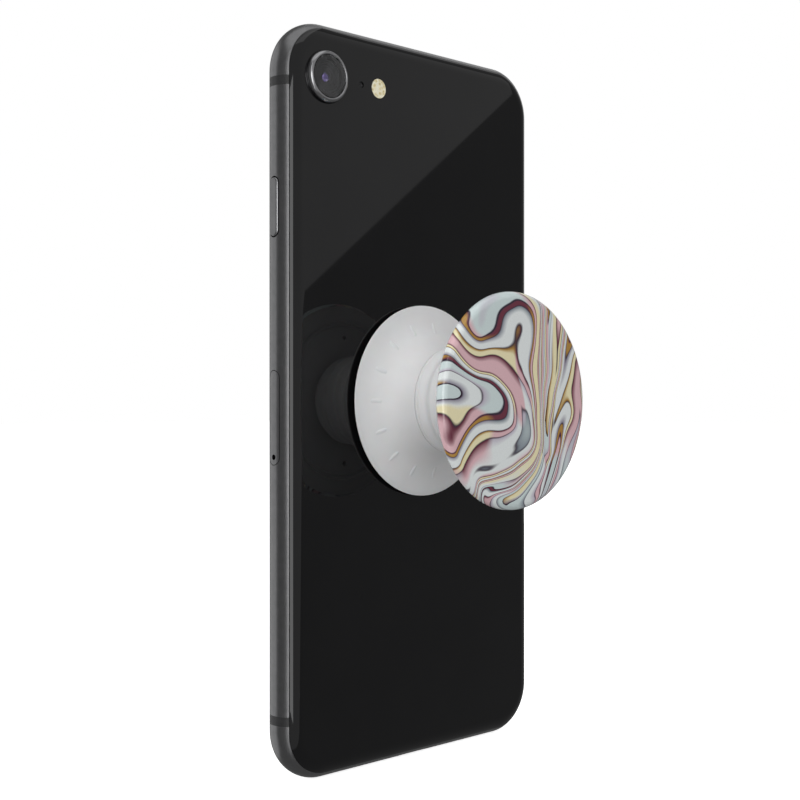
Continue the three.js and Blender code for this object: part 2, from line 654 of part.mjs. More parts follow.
// The folded sleeve above the neck: ridges that narrow towards the hub.
function upperConeProfile() {
  const y0 = above(grip.ringHeight + grip.ringThickness + grip.fitGap);
  const y1 = above(grip.height - grip.discThickness - grip.hubThickness - 2 * grip.fitGap);
  const ridgeRadius = (t) => THREE.MathUtils.lerp(grip.neckRadius, grip.topRidgeRadius, t);
  const outer = [];
  for (let i = 0; i <= 2 * grip.folds; i += 1) {
    const t = i / (2 * grip.folds);
    outer.push([ridgeRadius(t) - (i % 2) * grip.foldDepth, THREE.MathUtils.lerp(y0, y1, t)]);
  }
  const inner = outer.slice().reverse().map(([r, y]) => [r - grip.coneWall, y]);
  return [...outer, ...inner, outer[0]];
}

function discProfile() {
  const top = above(grip.height);
  const foot = above(grip.height - grip.discThickness);
  const widest = top - grip.discRound;
  const points = [
    [0, foot],
    [grip.discFootRadius, foot],
    [grip.discRadius - grip.discTaper, foot + grip.discFootDrop],
  ];
  for (let i = 0; i <= 4; i += 1) {
    const angle = (i / 4) * (Math.PI / 2);
    points.push([
      grip.discRadius - grip.discRound + grip.discRound * Math.cos(angle),
      widest + grip.discRound * Math.sin(angle),
    ]);
  }
  points.push([0, top]);
  return points;
}

function addGrip() {
  // A round slab of the grip between two heights.
  const slab = (radius, low, high) => bar('y', 0, 0, radius, above(low), above(high));
  const baseFoot = grip.padThickness + grip.fitGap;
  const ringTop = grip.ringHeight + grip.ringThickness;
  const hubTop = grip.height - grip.discThickness - grip.fitGap;

  add('grip_adhesive', slab(grip.padRadius, grip.fitGap, grip.padThickness), darkPlastic);
  add('grip_base', slab(grip.baseRadius, baseFoot, baseFoot + grip.baseThickness), whitePlastic);
  add('grip_lower_cone', turned(lowerConeProfile()), whitePlastic);
  const neckRing = washer(0, 0, grip.neckRadius, grip.ringBore, above(grip.ringHeight), above(ringTop));
  add('grip_neck_ring', neckRing, whitePlastic);
  add('grip_upper_cone', turned(upperConeProfile()), whitePlastic);
  add('grip_hub', slab(grip.hubRadius, hubTop - grip.hubThickness, hubTop), whitePlastic);
  add('grip_top_disc', turned(discProfile()), marbled);
}

addFrame();
addGlasses();
addDisplay();
addHomeButton();
addEarpiece();
addCamera();
addFlashAndMicrophone();
addMidplate();
addKeys();
addRingSwitch();
addSimTray();
addSimReader();
addEjector();
addBoard();
addBattery();
addHaptic();
addLoudspeaker();
addBottomEnd();
addGrip();

export default phoneWithGrip;
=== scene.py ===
"""The looks of a slab smartphone with a folding grip on its back.

Meshes are made in millimetres in the frame's own axes (X across, Y from display to back, Z up) and
scaled to metres when they are placed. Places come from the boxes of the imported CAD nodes.
"""
import functools
import json
import math

import bmesh
import bpy
from mathutils import Matrix, Vector


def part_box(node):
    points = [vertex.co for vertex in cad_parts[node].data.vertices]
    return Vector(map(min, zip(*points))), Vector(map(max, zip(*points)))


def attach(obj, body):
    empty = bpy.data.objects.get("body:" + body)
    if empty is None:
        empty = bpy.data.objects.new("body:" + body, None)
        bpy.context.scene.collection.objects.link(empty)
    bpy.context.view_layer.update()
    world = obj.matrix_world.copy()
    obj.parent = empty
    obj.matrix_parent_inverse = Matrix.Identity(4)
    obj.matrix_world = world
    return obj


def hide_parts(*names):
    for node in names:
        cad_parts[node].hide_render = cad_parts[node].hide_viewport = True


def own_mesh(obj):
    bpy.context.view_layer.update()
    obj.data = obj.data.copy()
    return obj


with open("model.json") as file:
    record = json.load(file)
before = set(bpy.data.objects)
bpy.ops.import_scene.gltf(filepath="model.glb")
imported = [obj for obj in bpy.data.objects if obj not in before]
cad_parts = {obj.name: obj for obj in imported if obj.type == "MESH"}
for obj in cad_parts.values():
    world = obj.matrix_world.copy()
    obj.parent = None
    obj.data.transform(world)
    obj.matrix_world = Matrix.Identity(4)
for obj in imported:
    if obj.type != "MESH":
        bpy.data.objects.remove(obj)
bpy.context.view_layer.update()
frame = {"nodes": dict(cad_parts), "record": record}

MM = 0.001


@functools.cache
def mm_box(node):
    """The lowest and highest corners of a CAD node, in millimetres."""
    low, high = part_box(node)
    return low / MM, high / MM


def mm_middle(node):
    low, high = mm_box(node)
    return (low + high) / 2


def round_of(node):
    """Centre (x, z), radius and depths of a round CAD node."""
    low, high = mm_box(node)
    return ((low.x + high.x) / 2, (low.z + high.z) / 2), (high.z - low.z) / 2, low.y, high.y


# ---------------- sizes, in millimetres

HALF_WIDTH = mm_box("frame_rail_right")[1].x
HALF_HEIGHT = mm_box("frame_top")[1].z
DEPTH = mm_box("back_glass")[1].y
MIDDLE = DEPTH / 2
CORNER = 9.7
ROUND_OVER = 3.62
LAND = 0.3
WALL = 2.4
EDGE_RISE = (DEPTH - LAND) / 2

BOND = 0.05
RUNNING = 0.12
LIP = 0.1
CUT_PAST = 1.0

# ---------------- mesh code

FINE = 96
ON_AXIS = 1e-6
CORNER_SHARE = 0.45


def ring_of(points, bm):
    return [bm.verts.new(p) for p in points]


def bridge(bm, ring_a, ring_b):
    """Quads between two rings of the same count."""
    count = len(ring_a)
    for i in range(count):
        j = (i + 1) % count
        bm.faces.new((ring_a[i], ring_a[j], ring_b[j], ring_b[i]))


def loft(rings):
    """A closed solid through rings of points, with a flat cap on each end."""
    bm = bmesh.new()
    made = [ring_of(points, bm) for points in rings]
    for lower, upper in zip(made, made[1:]):
        bridge(bm, lower, upper)
    bm.faces.new(made[0])
    bm.faces.new(made[-1])
    return bm


def lathe(profile, centre=(0, 0), closed=False, steps=FINE):
    """A solid turned about the Y axis through centre (x, z), from (radius, y) points.

    An open profile starts and ends on the axis. A closed one makes a ring.
    """
    bm = bmesh.new()
    turns = [2 * math.pi * i / steps for i in range(steps)]
    rings = []
    for radius, y in profile:
        if radius < ON_AXIS:
            rings.append([bm.verts.new((centre[0], y, centre[1]))])
            continue
        points = [(centre[0] + radius * math.cos(t), y, centre[1] + radius * math.sin(t)) for t in turns]
        rings.append(ring_of(points, bm))
    pairs = list(zip(rings, rings[1:]))
    if closed:
        pairs.append((rings[-1], rings[0]))
    for a, b in pairs:
        if len(a) == 1 or len(b) == 1:
            tip, ring = (a[0], b) if len(a) == 1 else (b[0], a)
            for i in range(steps):
                bm.faces.new((tip, ring[i], ring[(i + 1) % steps]))
        else:
            bridge(bm, a, b)
    return bm


def softened(points, radius, steps=4, closed=False):
    """A profile with each corner rounded by about radius, or by what its shorter side allows."""
    count = len(points)
    result = []
    for i, point in enumerate(points):
        if not closed and i in (0, count - 1):
            result.append(point)
            continue
        here = Vector(point)
        before = Vector(points[i - 1]) - here
        after = Vector(points[(i + 1) % count]) - here
        reach = min(radius, before.length * CORNER_SHARE, after.length * CORNER_SHARE)
        start = here + before.normalized() * reach
        end = here + after.normalized() * reach
        for k in range(steps + 1):
            t = k / steps
            result.append(tuple(start * (1 - t) ** 2 + here * 2 * t * (1 - t) + end * t ** 2))
    return result


def prism(outline, axis, start, end):
    """A straight solid along X, Y or Z from an outline in the other two axes, in order."""
    index = "xyz".index(axis)
    return loft([[(*point[:index], stop, *point[index:]) for point in outline] for stop in (start, end)])


def circle(centre, radius, steps=48):
    turns = [2 * math.pi * i / steps for i in range(steps)]
    return [(centre[0] + radius * math.cos(t), centre[1] + radius * math.sin(t)) for t in turns]


def bar_along(axis, centre, radius, start, end, steps=48):
    """A round bar along X, Y or Z through centre, given in the other two axes in order."""
    return prism(circle(centre, radius, steps), axis, start, end)


def box_between(low, high, bevel=0.0):
    """A block between two corners, with rounded edges if bevel is given."""
    bm = bmesh.new()
    bmesh.ops.create_cube(bm, size=1)
    size = Vector(high) - Vector(low)
    bmesh.ops.transform(bm, matrix=Matrix.Diagonal((*size, 1)), verts=bm.verts)
    bmesh.ops.translate(bm, vec=(Vector(high) + Vector(low)) / 2, verts=bm.verts)
    if bevel:
        bmesh.ops.bevel(bm, geom=bm.edges[:], offset=bevel, segments=3, profile=0.5, affect="EDGES")
    return bm


def stadium(centre, length, width, inset=0.0, steps=20):
    """A slot outline of (along, across) points, with full round ends."""
    radius = width / 2 - inset
    straight = length / 2 - width / 2
    points = []
    for end in (1, -1):
        for i in range(steps + 1):
            t = -math.pi / 2 + math.pi * i / steps
            points.append((centre[0] + end * (straight + radius * math.cos(t)),
                           centre[1] + end * radius * math.sin(t)))
    return points


def key_solid(centre, length, width, x_inner, x_face, fillet, side):
    """A key cap that sticks out along X on one side, with its face edge rounded by fillet."""
    stops = [(x_inner, 0.0)]
    turns = 6
    for i in range(turns + 1):
        t = math.pi / 2 * i / turns
        stops.append((x_face - fillet + fillet * math.sin(t), fillet - fillet * math.cos(t)))
    stops.append((x_face, fillet + LIP))
    rings = []
    for x, inset in stops:
        rings.append([(side * x, y, z) for z, y in stadium(centre, length, width, inset)])
    return loft(rings)


def slot_cutter(centre, length, width, start, end):
    """A slot with round ends, run along X; centre is (z, y)."""
    outline = [(y, z) for z, y in stadium(centre, length, width)]
    return prism(outline, "x", start, end)


# ---------------- the body's rounded outline


def edge_inset(y):
    """How far the rounded edge has come in from the widest outline, at depth y."""
    t = max(0.0, abs(y - MIDDLE) - LAND / 2) / EDGE_RISE
    return ROUND_OVER * (1 - math.sqrt(max(0.0, 1 - t * t)))


CORNER_STEPS = 20
SIDE_STEP = 6.0


def straight_stations(start, end, normal):
    """Stations along a straight side; each is a centre and an outward normal, in X and Z."""
    start, end = Vector(start), Vector(end)
    count = max(1, round((end - start).length / SIDE_STEP))
    return [((*start.lerp(end, i / count),), normal) for i in range(count + 1)]


def corner_stations(centre, first_quarter):
    stations = []
    for i in range(1, CORNER_STEPS):
        t = math.pi / 2 * (first_quarter + i / CORNER_STEPS)
        stations.append((centre, (math.cos(t), math.sin(t))))
    return stations


def end_stations(sign, from_z):
    """Stations round the top (sign 1) or bottom (sign -1) end, from the right side to the left."""
    x, z = HALF_WIDTH - CORNER, HALF_HEIGHT - CORNER
    half = straight_stations((x, from_z), (x, z), (1, 0))
    half += corner_stations((x, z), 0)
    half += straight_stations((x, z), (-x, z), (0, 1))
    half += corner_stations((-x, z), 1)
    half += straight_stations((-x, z), (-x, from_z), (-1, 0))
    return [((cx, sign * cz), (nx, sign * nz)) for (cx, cz), (nx, nz) in half]


def whole_stations():
    """Stations all the way round, without repeating the first."""
    top = end_stations(1, 0)
    bottom = end_stations(-1, 0)[::-1]
    return top + bottom[1:-1]


def station_point(station, inset, y):
    (cx, cz), (nx, nz) = station
    reach = CORNER - inset
    return (cx + nx * reach, y, cz + nz * reach)


def sweep(stations, section):
    """A closed section of (inset, y) points carried along open stations, with capped ends."""
    return loft([[station_point(s, inset, y) for inset, y in section] for s in stations])


def edge_points(y0, y1, steps):
    """The rounded edge between two depths, with points evenly spread in angle."""
    def angle(y):
        rise = max(-1.0, min(1.0, (y - MIDDLE) / (DEPTH / 2)))
        return math.asin(rise)
    a0, a1 = angle(y0), angle(y1)
    depths = [MIDDLE + DEPTH / 2 * math.sin(a0 + (a1 - a0) * i / steps) for i in range(steps + 1)]
    return [(edge_inset(y), y) for y in depths]


def frame_section(y0, y1):
    """The frame's cross section: the rounded outside with small lips, and a flat inside."""
    outside = edge_points(y0 + LIP, y1 - LIP, 36)
    low = (edge_inset(y0 + LIP) + LIP, y0)
    high = (edge_inset(y1 - LIP) + LIP, y1)
    return [low] + outside + [high, (WALL, y1), (WALL, y0)]


def glass_slab(face_y, seat_y):
    """A flat glass with its rim rounded from the seat in the frame to the outer face."""
    stations = whole_stations()
    rim = edge_points(seat_y, face_y, 22)
    first_inset, _ = rim[0]
    towards = 1 if face_y > seat_y else -1
    levels = [(first_inset + 2 * LIP, seat_y), (first_inset + LIP / 2, seat_y)]
    levels.append((edge_inset(seat_y + towards * LIP / 2), seat_y + towards * LIP / 2))
    levels += [p for p in rim if abs(p[1] - seat_y) > LIP]
    levels.append((rim[-1][0] + 4 * LIP, face_y))
    return loft([[station_point(s, inset, y) for s in stations] for inset, y in levels])


# ---------------- placing pieces


def mesh_object(name, bm):
    """A linked object, still in millimetres, from a bmesh."""
    bmesh.ops.recalc_face_normals(bm, faces=bm.faces[:])
    mesh = bpy.data.meshes.new(name)
    bm.to_mesh(mesh)
    bm.free()
    obj = bpy.data.objects.new(name, mesh)
    bpy.context.scene.collection.objects.link(obj)
    return obj


def combine(target, bm, operation="DIFFERENCE"):
    """Cuts, joins or intersects an object with another solid."""
    tool = mesh_object("cutter", bm)
    modifier = target.modifiers.new("combine", "BOOLEAN")
    modifier.object = tool
    modifier.operation = operation
    modifier.solver = "EXACT"
    graph = bpy.context.evaluated_depsgraph_get()
    result = bpy.data.meshes.new_from_object(target.evaluated_get(graph))
    target.modifiers.clear()
    target.data = result
    bpy.data.objects.remove(tool)


def place(obj, material, body, nodes=(), angle=28.0):
    """Scales a piece to metres, shades it, and hands it to the frame."""
    obj.data.transform(Matrix.Scale(MM, 4))
    obj.data.polygons.foreach_set("use_smooth", [True] * len(obj.data.polygons))
    obj.data.set_sharp_from_angle(angle=math.radians(angle))
    obj.data.materials.clear()
    obj.data.materials.append(material)
    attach(obj, body)
    if nodes:
        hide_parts(*nodes)
    return obj


def turned(name, profile, centre, material, body, nodes=(), closed=False, steps=FINE):
    """A lathed piece, placed."""
    return place(mesh_object(name, lathe(profile, centre, closed, steps)), material, body, nodes)


def add_finish(obj, material, chosen):
    """A second material for the faces that chosen picks."""
    obj.data.materials.append(material)
    for face in obj.data.polygons:
        if chosen(face):
            face.material_index = 1


# ---------------- material building


def start_material(name, colour, roughness, metallic=0.0, **sockets):
    """A Principled material; keyword names are socket names with underscores for spaces."""
    material = bpy.data.materials.new(name)
    material.use_nodes = True
    shader = material.node_tree.nodes["Principled BSDF"]
    shader.inputs["Base Color"].default_value = (*colour, 1)
    shader.inputs["Roughness"].default_value = roughness
    shader.inputs["Metallic"].default_value = metallic
    for key, value in sockets.items():
        shader.inputs[key.replace("_", " ")].default_value = value
    return material


def node(material, kind, **inputs):
    """A new node; sockets are filled by value or by link, named with underscores for spaces."""
    tree = material.node_tree
    made = tree.nodes.new(kind)
    for key, value in inputs.items():
        fill(material, made.inputs[key.replace("_", " ")], value)
    return made


def fill(material, socket, value):
    if isinstance(value, bpy.types.NodeSocket):
        material.node_tree.links.new(value, socket)
    else:
        socket.default_value = value


def maths(material, operation, first, second=0.0):
    made = material.node_tree.nodes.new("ShaderNodeMath")
    made.operation = operation
    fill(material, made.inputs[0], first)
    fill(material, made.inputs[1], second)
    return made.outputs[0]


def vector_maths(material, operation, first, second=(0, 0, 0), scale=None):
    made = material.node_tree.nodes.new("ShaderNodeVectorMath")
    made.operation = operation
    fill(material, made.inputs[0], first)
    if scale is None:
        fill(material, made.inputs[1], second)
    else:
        fill(material, made.inputs["Scale"], scale)
    return made.outputs["Value" if operation == "DISTANCE" else "Vector"]


def object_coordinates(material):
    return node(material, "ShaderNodeTexCoord").outputs["Object"]


def split_coordinates(material):
    return node(material, "ShaderNodeSeparateXYZ", Vector=object_coordinates(material)).outputs


def axis_distance(material, x=0.0, z=0.0):
    """Distance from a line along Y, in metres."""
    flat = vector_maths(material, "MULTIPLY", object_coordinates(material), (1, 0, 1))
    return vector_maths(material, "DISTANCE", flat, (x, 0, z))


def noise(material, scale, detail=2.0, vector=None, distortion=0.0, output="Fac"):
    made = node(material, "ShaderNodeTexNoise", Scale=scale, Detail=detail, Distortion=distortion)
    fill(material, made.inputs["Vector"], vector or object_coordinates(material))
    return made.outputs[output]


def ramp(material, factor, stops):
    """A colour ramp from (position, colour) stops."""
    made = node(material, "ShaderNodeValToRGB", Fac=factor)
    elements = made.color_ramp.elements
    while len(elements) < len(stops):
        elements.new(0.5)
    for element, (position, colour) in zip(elements, stops):
        element.position = position
        element.color = (*colour, 1)
    return made.outputs["Color"]


def mix(material, factor, first, second, blend="MIX"):
    made = material.node_tree.nodes.new("ShaderNodeMix")
    made.data_type = "RGBA"
    made.blend_type = blend
    fill(material, made.inputs["Factor"], factor)
    for index, value in ((6, first), (7, second)):
        fill(material, made.inputs[index], (*value, 1) if isinstance(value, tuple) else value)
    return made.outputs[2]


def shader_of(material):
    return material.node_tree.nodes["Principled BSDF"]


def set_colour(material, socket):
    fill(material, shader_of(material).inputs["Base Color"], socket)


def vary_colour(material, dark, light, scale):
    """Base colour that drifts between two tones."""
    set_colour(material, ramp(material, noise(material, scale, 3.0), [(0.3, dark), (0.7, light)]))


def vary_roughness(material, low, high, scale):
    factor = noise(material, scale, 3.0)
    spread = node(material, "ShaderNodeMapRange", Value=factor, To_Min=low, To_Max=high)
    fill(material, shader_of(material).inputs["Roughness"], spread.outputs["Result"])


def add_bump(material, height, strength, distance):
    """Bump from a height socket; distance is in metres."""
    bump = node(material, "ShaderNodeBump", Strength=strength, Distance=distance, Height=height)
    fill(material, shader_of(material).inputs["Normal"], bump.outputs["Normal"])


def grain(material, scale, strength, distance):
    add_bump(material, noise(material, scale), strength, distance)


def varied(name, colour, roughness, metallic=0.0, tones=None, gloss=None, bumps=None, **sockets):
    """A material whose tone and roughness drift, with a fine grain.

    tones is dark, light and scale; gloss is low, high and scale; bumps is scale, strength and depth.
    """
    material = start_material(name, colour, roughness, metallic, **sockets)
    if tones:
        vary_colour(material, *tones)
    if gloss:
        vary_roughness(material, *gloss)
    if bumps:
        grain(material, *bumps)
    return material


def inside_band(material, value, centre, half):
    """1 where a value lies within half of centre, else 0."""
    distance = maths(material, "ABSOLUTE", maths(material, "SUBTRACT", value, centre))
    return maths(material, "LESS_THAN", distance, half)


# ---------------- materials


def blasted_aluminium():
    """Dark grey anodised metal with a fine bead-blasted grain."""
    return varied("anodised_aluminium", (0.235, 0.235, 0.24), 0.3, 1.0,
                  tones=((0.22, 0.221, 0.226), (0.25, 0.25, 0.255), 900),
                  gloss=(0.27, 0.36, 2600), bumps=(9000, 0.12, 0.00003))


def polished_ring():
    """The brighter machined metal of the camera and home button rings."""
    return varied("machined_ring", (0.36, 0.36, 0.37), 0.2, 1.0, Anisotropic=0.4,
                  tones=((0.33, 0.33, 0.34), (0.39, 0.39, 0.4), 700), gloss=(0.16, 0.26, 1800))


def antenna_plastic():
    return varied("antenna_plastic", (0.02, 0.02, 0.021), 0.45,
                  tones=((0.018, 0.018, 0.019), (0.024, 0.024, 0.025), 1200), bumps=(7000, 0.1, 0.00002))


HAZE = (0.012, 0.03, 90)


def back_glass_finish():
    """Polished glass over black ink, with the faintest haze."""
    return varied("black_back_glass", (0.0035, 0.0035, 0.004), 0.02, IOR=1.5,
                  tones=((0.0028, 0.0028, 0.0033), (0.0042, 0.0042, 0.0047), 60), gloss=HAZE)


def rectangle_mask(material, half_x, half_z):
    """1 inside a rectangle about the origin, by X and Z in metres."""
    split = split_coordinates(material)
    across = maths(material, "LESS_THAN", maths(material, "ABSOLUTE", split["X"]), half_x)
    along = maths(material, "LESS_THAN", maths(material, "ABSOLUTE", split["Z"]), half_z)
    return maths(material, "MULTIPLY", across, along)


FRONT_WINDOW = 1.7 * MM
SCREEN_MARGIN_X = 0.8 * MM
SCREEN_MARGIN_Z = 1.0 * MM


def display_glass_finish():
    """Black glass whose screen area and front camera window are a shade lighter than the ink."""
    material = varied("display_glass", (0.004, 0.004, 0.004), 0.02, gloss=HAZE, IOR=1.5)
    low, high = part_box("lcd_panel")
    screen = rectangle_mask(material, (high.x - low.x) / 2 - SCREEN_MARGIN_X,
                            (high.z - low.z) / 2 - SCREEN_MARGIN_Z)
    ink = (0.0022, 0.0022, 0.0025)
    glow = ramp(material, noise(material, 40), [
        (0.3, (0.0105, 0.0115, 0.014)), (0.7, (0.0125, 0.0135, 0.016))])
    surface = mix(material, screen, ink, glow)
    camera_low, camera_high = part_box("front_camera")
    eye = (camera_low + camera_high) / 2
    distance = axis_distance(material, eye.x, eye.z)
    rings = ramp(material, maths(material, "DIVIDE", distance, FRONT_WINDOW), [
        (0.0, (0.03, 0.02, 0.07)), (0.3, (0.012, 0.010, 0.03)), (0.45, (0.001, 0.001, 0.001)),
        (0.75, (0.008, 0.008, 0.01)), (0.9, (0.016, 0.016, 0.018)), (1.0, ink)])
    window = maths(material, "LESS_THAN", distance, FRONT_WINDOW)
    set_colour(material, mix(material, window, surface, rings))
    return material


def satin_white(name, light, dark, roughness):
    """Moulded white plastic or elastomer with a soft, fine grain."""
    return varied(name, light, roughness, tones=(dark, light, 240),
                  gloss=(roughness - 0.06, roughness + 0.06, 800), bumps=(4200, 0.08, 0.00004),
                  Specular_IOR_Level=0.35, Subsurface_Weight=0.08, Subsurface_Scale=0.0006)


ICE = (0.66, 0.76, 0.76)
FROST = (0.84, 0.88, 0.88)
LILAC = (0.56, 0.51, 0.60)
PINK = (0.78, 0.50, 0.54)
MAROON = (0.16, 0.025, 0.05)
CREAM = (0.90, 0.82, 0.52)
OCHRE = (0.46, 0.25, 0.045)
INK = (0.030, 0.012, 0.035)
SLATE = (0.26, 0.30, 0.34)
DUSK = (0.33, 0.31, 0.38)

BAND_EDGES = (0.0, 0.19, 0.36, 0.45, 0.61, 0.68, 0.82, 1.0)
PALE_FILLS = ((ICE, SLATE), (FROST, LILAC), (PINK, MAROON), (FROST, SLATE), (MAROON, INK),
              (ICE, LILAC), (FROST, DUSK))
WARM_FILLS = ((ICE, LILAC), (PINK, MAROON), (CREAM, OCHRE), (FROST, DUSK), (OCHRE, MAROON),
              (PINK, MAROON), (CREAM, OCHRE))
LINE_WIDTH = 0.024
BANDS = 3.1
SWIRLS = (((0.30, 1.5, -0.30), 0.85, 2.6), ((-0.50, 1.5, 0.40), 0.65, -3.0),
          ((0.25, 1.5, 0.70), 0.50, 2.4), ((-0.25, 1.5, -0.75), 0.45, -2.4))
STRETCH = (0.6, 0.3, 1.3)
WARM_PLACES = (7, 3, 5)


def paint_stops(fills):
    """Ramp stops for bands of paint: each is light, shades off at its far side, and ends in ink."""
    stops = []
    for start, end, (light, shade) in zip(BAND_EDGES, BAND_EDGES[1:], fills):
        stops += [(start, light), (start + 0.5 * (end - start), light)]
        stops += [(end - LINE_WIDTH, shade), (end - LINE_WIDTH / 2, INK)]
    return stops


def swirl(material, vector, centre, radius, turn):
    """Stirs a pattern: turns it about centre, most in the middle and less further out."""
    distance = maths(material, "DIVIDE", vector_maths(material, "DISTANCE", vector, centre), radius)
    square = maths(material, "POWER", distance, 2)
    fade = maths(material, "EXPONENT", maths(material, "MULTIPLY", square, -1))
    made = node(material, "ShaderNodeVectorRotate", Vector=vector, Center=centre, Axis=(0, 1, 0),
                Angle=maths(material, "MULTIPLY", fade, turn))
    return made.outputs["Vector"]


def wander(material, vector, scale, amount):
    """Pushes a pattern about by a smooth noise."""
    drift = noise(material, scale, 1.0, vector, output="Color")
    centred = vector_maths(material, "SUBTRACT", drift, (0.5, 0.5, 0.5))
    return vector_maths(material, "ADD", vector, vector_maths(material, "SCALE", centred, scale=amount))


def marbled_print():
    """A poured-paint marbling: stirred bands of pale, pink and gold paint with thin dark edges."""
    material = varied("marbled_print", ICE, 0.22, bumps=(300, 0.02, 0.00003), Coat_Weight=0.7,
                      Coat_Roughness=0.06)
    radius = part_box("grip_top_disc")[1].x
    plane = vector_maths(material, "SCALE", object_coordinates(material), scale=1 / radius)
    paint = wander(material, plane, 0.95, 1.1)
    for centre, reach, turn in SWIRLS:
        paint = swirl(material, paint, centre, reach, turn)
    paint = wander(material, paint, 1.9, 0.24)
    field = noise(material, 1.0, 0.0, vector_maths(material, "MULTIPLY", paint, STRETCH), 0.3)
    bands = maths(material, "FRACT", maths(material, "MULTIPLY", field, BANDS))
    pale = ramp(material, bands, paint_stops(PALE_FILLS))
    warm = ramp(material, bands, paint_stops(WARM_FILLS))
    choice = noise(material, 1.5, 0.0, vector_maths(material, "ADD", paint, WARM_PLACES))
    warmth = ramp(material, choice, [(0.41, (0, 0, 0)), (0.47, (1, 1, 1))])
    speck = noise(material, 70, 2.0, plane)
    shade = ramp(material, speck, [(0.25, (0.93, 0.93, 0.93)), (0.75, (1, 1, 1))])
    set_colour(material, mix(material, 1.0, mix(material, warmth, pale, warm), shade, "MULTIPLY"))
    return material


def camera_cover_finish():
    """Clear sapphire over the lens."""
    return varied("camera_cover", (0.9, 0.9, 0.92), 0.01, gloss=(0.005, 0.02, 300), IOR=1.5,
                  Transmission_Weight=1.0)


def ringed_black(name, centre, pitch, dark, light):
    """Matte black with turned rings about a centre given in metres; the colour follows the rings' bump,
    darker in its grooves and lighter on its crests, a painted shade.
    """
    material = start_material(name, light, 0.6, IOR=1.3)
    turns = maths(material, "DIVIDE", axis_distance(material, *centre), pitch)
    wave = maths(material, "PINGPONG", turns, 1.0)
    # painted shade: the colour is darker where the bump below is low
    set_colour(material, ramp(material, wave, [(0.1, dark), (0.9, light)]))
    add_bump(material, wave, 0.3, 0.00004)
    return material


def violet_lens():
    """Lens glass with a violet-tinted coating; its base colour is a painted violet sheen, brightest where
    the lens faces the viewer and dark towards its rim.
    """
    material = start_material("coated_lens_painted_sheen", (0.02, 0.012, 0.06), 0.05, IOR=1.7, Coat_Weight=1.0,
                              Specular_Tint=(0.55, 0.4, 1, 1))
    # painted sheen: the colour is brighter violet where the lens faces the viewer
    facing = node(material, "ShaderNodeLayerWeight", Blend=0.35).outputs["Facing"]
    set_colour(material, ramp(material, facing, [
        (0.0, (0.07, 0.035, 0.22)), (0.3, (0.03, 0.018, 0.11)), (0.6, (0.005, 0.005, 0.012))]))
    return material


def flash_painted_glow():
    """A cream diffuser with the emitters' darker amber cells showing through; it also glows faintly in its
    own tone, a painted glow, though the flash is not lit.
    """
    material = start_material("flash_window", (0.9, 0.82, 0.55), 0.15, Coat_Weight=1.0,
                              Emission_Strength=0.05)
    cells = node(material, "ShaderNodeTexVoronoi", Scale=1300.0, Vector=object_coordinates(material))
    tone = ramp(material, cells.outputs["Distance"], [
        (0.05, (0.50, 0.38, 0.14)), (0.3, (0.80, 0.70, 0.40)), (0.6, (0.95, 0.9, 0.7))])
    set_colour(material, tone)
    # painted glow: the window emits its own cream and amber tone
    fill(material, shader_of(material).inputs["Emission Color"], tone)
    add_bump(material, cells.outputs["Distance"], 0.35, 0.0001)
    return material


def perforated(name, pitch):
    """A woven metal screen: dark holes on a fine grid."""
    material = start_material(name, (0.03, 0.03, 0.032), 0.5, 0.6)
    split = split_coordinates(material)
    waves = []
    for axis in ("X", "Y", "Z"):
        angle = maths(material, "MULTIPLY", split[axis], 2 * math.pi / pitch)
        waves.append(maths(material, "COSINE", angle))
    height = maths(material, "ADD", waves[0], maths(material, "MAXIMUM", waves[1], waves[2]))
    set_colour(material, ramp(material, maths(material, "MULTIPLY", height, 0.5), [
        (0.3, (0.05, 0.05, 0.053)), (0.55, (0.004, 0.004, 0.004))]))
    add_bump(material, height, 0.4, 0.00004)
    return material


def brushed_steel():
    material = varied("stamped_steel", (0.5, 0.5, 0.51), 0.32, 1.0, gloss=(0.26, 0.4, 900))
    streaks = node(material, "ShaderNodeMapping", Vector=object_coordinates(material), Scale=(1, 1, 40))
    factor = noise(material, 220, 3, streaks.outputs["Vector"])
    set_colour(material, ramp(material, factor, [(0.3, (0.42, 0.42, 0.43)), (0.7, (0.55, 0.55, 0.56))]))
    return material


def matte_black(name, tone, roughness):
    return varied(name, (tone, tone, tone * 1.05), roughness, bumps=(6000, 0.15, 0.00003),
                  tones=((tone * 0.85,) * 3, (tone * 1.2,) * 3, 900))


def circuit_board():
    """Green solder mask with copper tracks under it."""
    material = start_material("circuit_board", (0.015, 0.06, 0.035), 0.35)
    cells = node(material, "ShaderNodeTexVoronoi", Scale=700.0, Vector=object_coordinates(material))
    cells.feature = "DISTANCE_TO_EDGE"
    set_colour(material, ramp(material, cells.outputs["Distance"], [
        (0.02, (0.05, 0.13, 0.06)), (0.08, (0.012, 0.055, 0.03))]))
    add_bump(material, cells.outputs["Distance"], 0.2, 0.00005)
    return material


def foil_pouch():
    return varied("foil_pouch", (0.02, 0.02, 0.025), 0.38, bumps=(160, 0.25, 0.0002),
                  tones=((0.016, 0.016, 0.02), (0.03, 0.03, 0.036), 120))


def wound_copper():
    """Varnished wire laid in turns about the Y axis; the copper is painted dark in the bump's grooves
    between turns, a painted shade.
    """
    material = start_material("wound_copper", (0.55, 0.25, 0.12), 0.3, 1.0)
    turns = maths(material, "DIVIDE", axis_distance(material), 0.4 * MM)
    wave = maths(material, "PINGPONG", turns, 1.0)
    # painted shade: dark copper where the bump below is low, between the turns
    set_colour(material, ramp(material, wave, [(0.05, (0.1, 0.03, 0.015)), (0.5, (0.62, 0.29, 0.14))]))
    add_bump(material, wave, 0.8, 0.0001)
    return material


PAD_HALF_X = 4.6 * MM
PAD_HALF_Z = 3.6 * MM
PAD_ROW = 1.2 * MM
PAD_GAP = 0.08 * MM


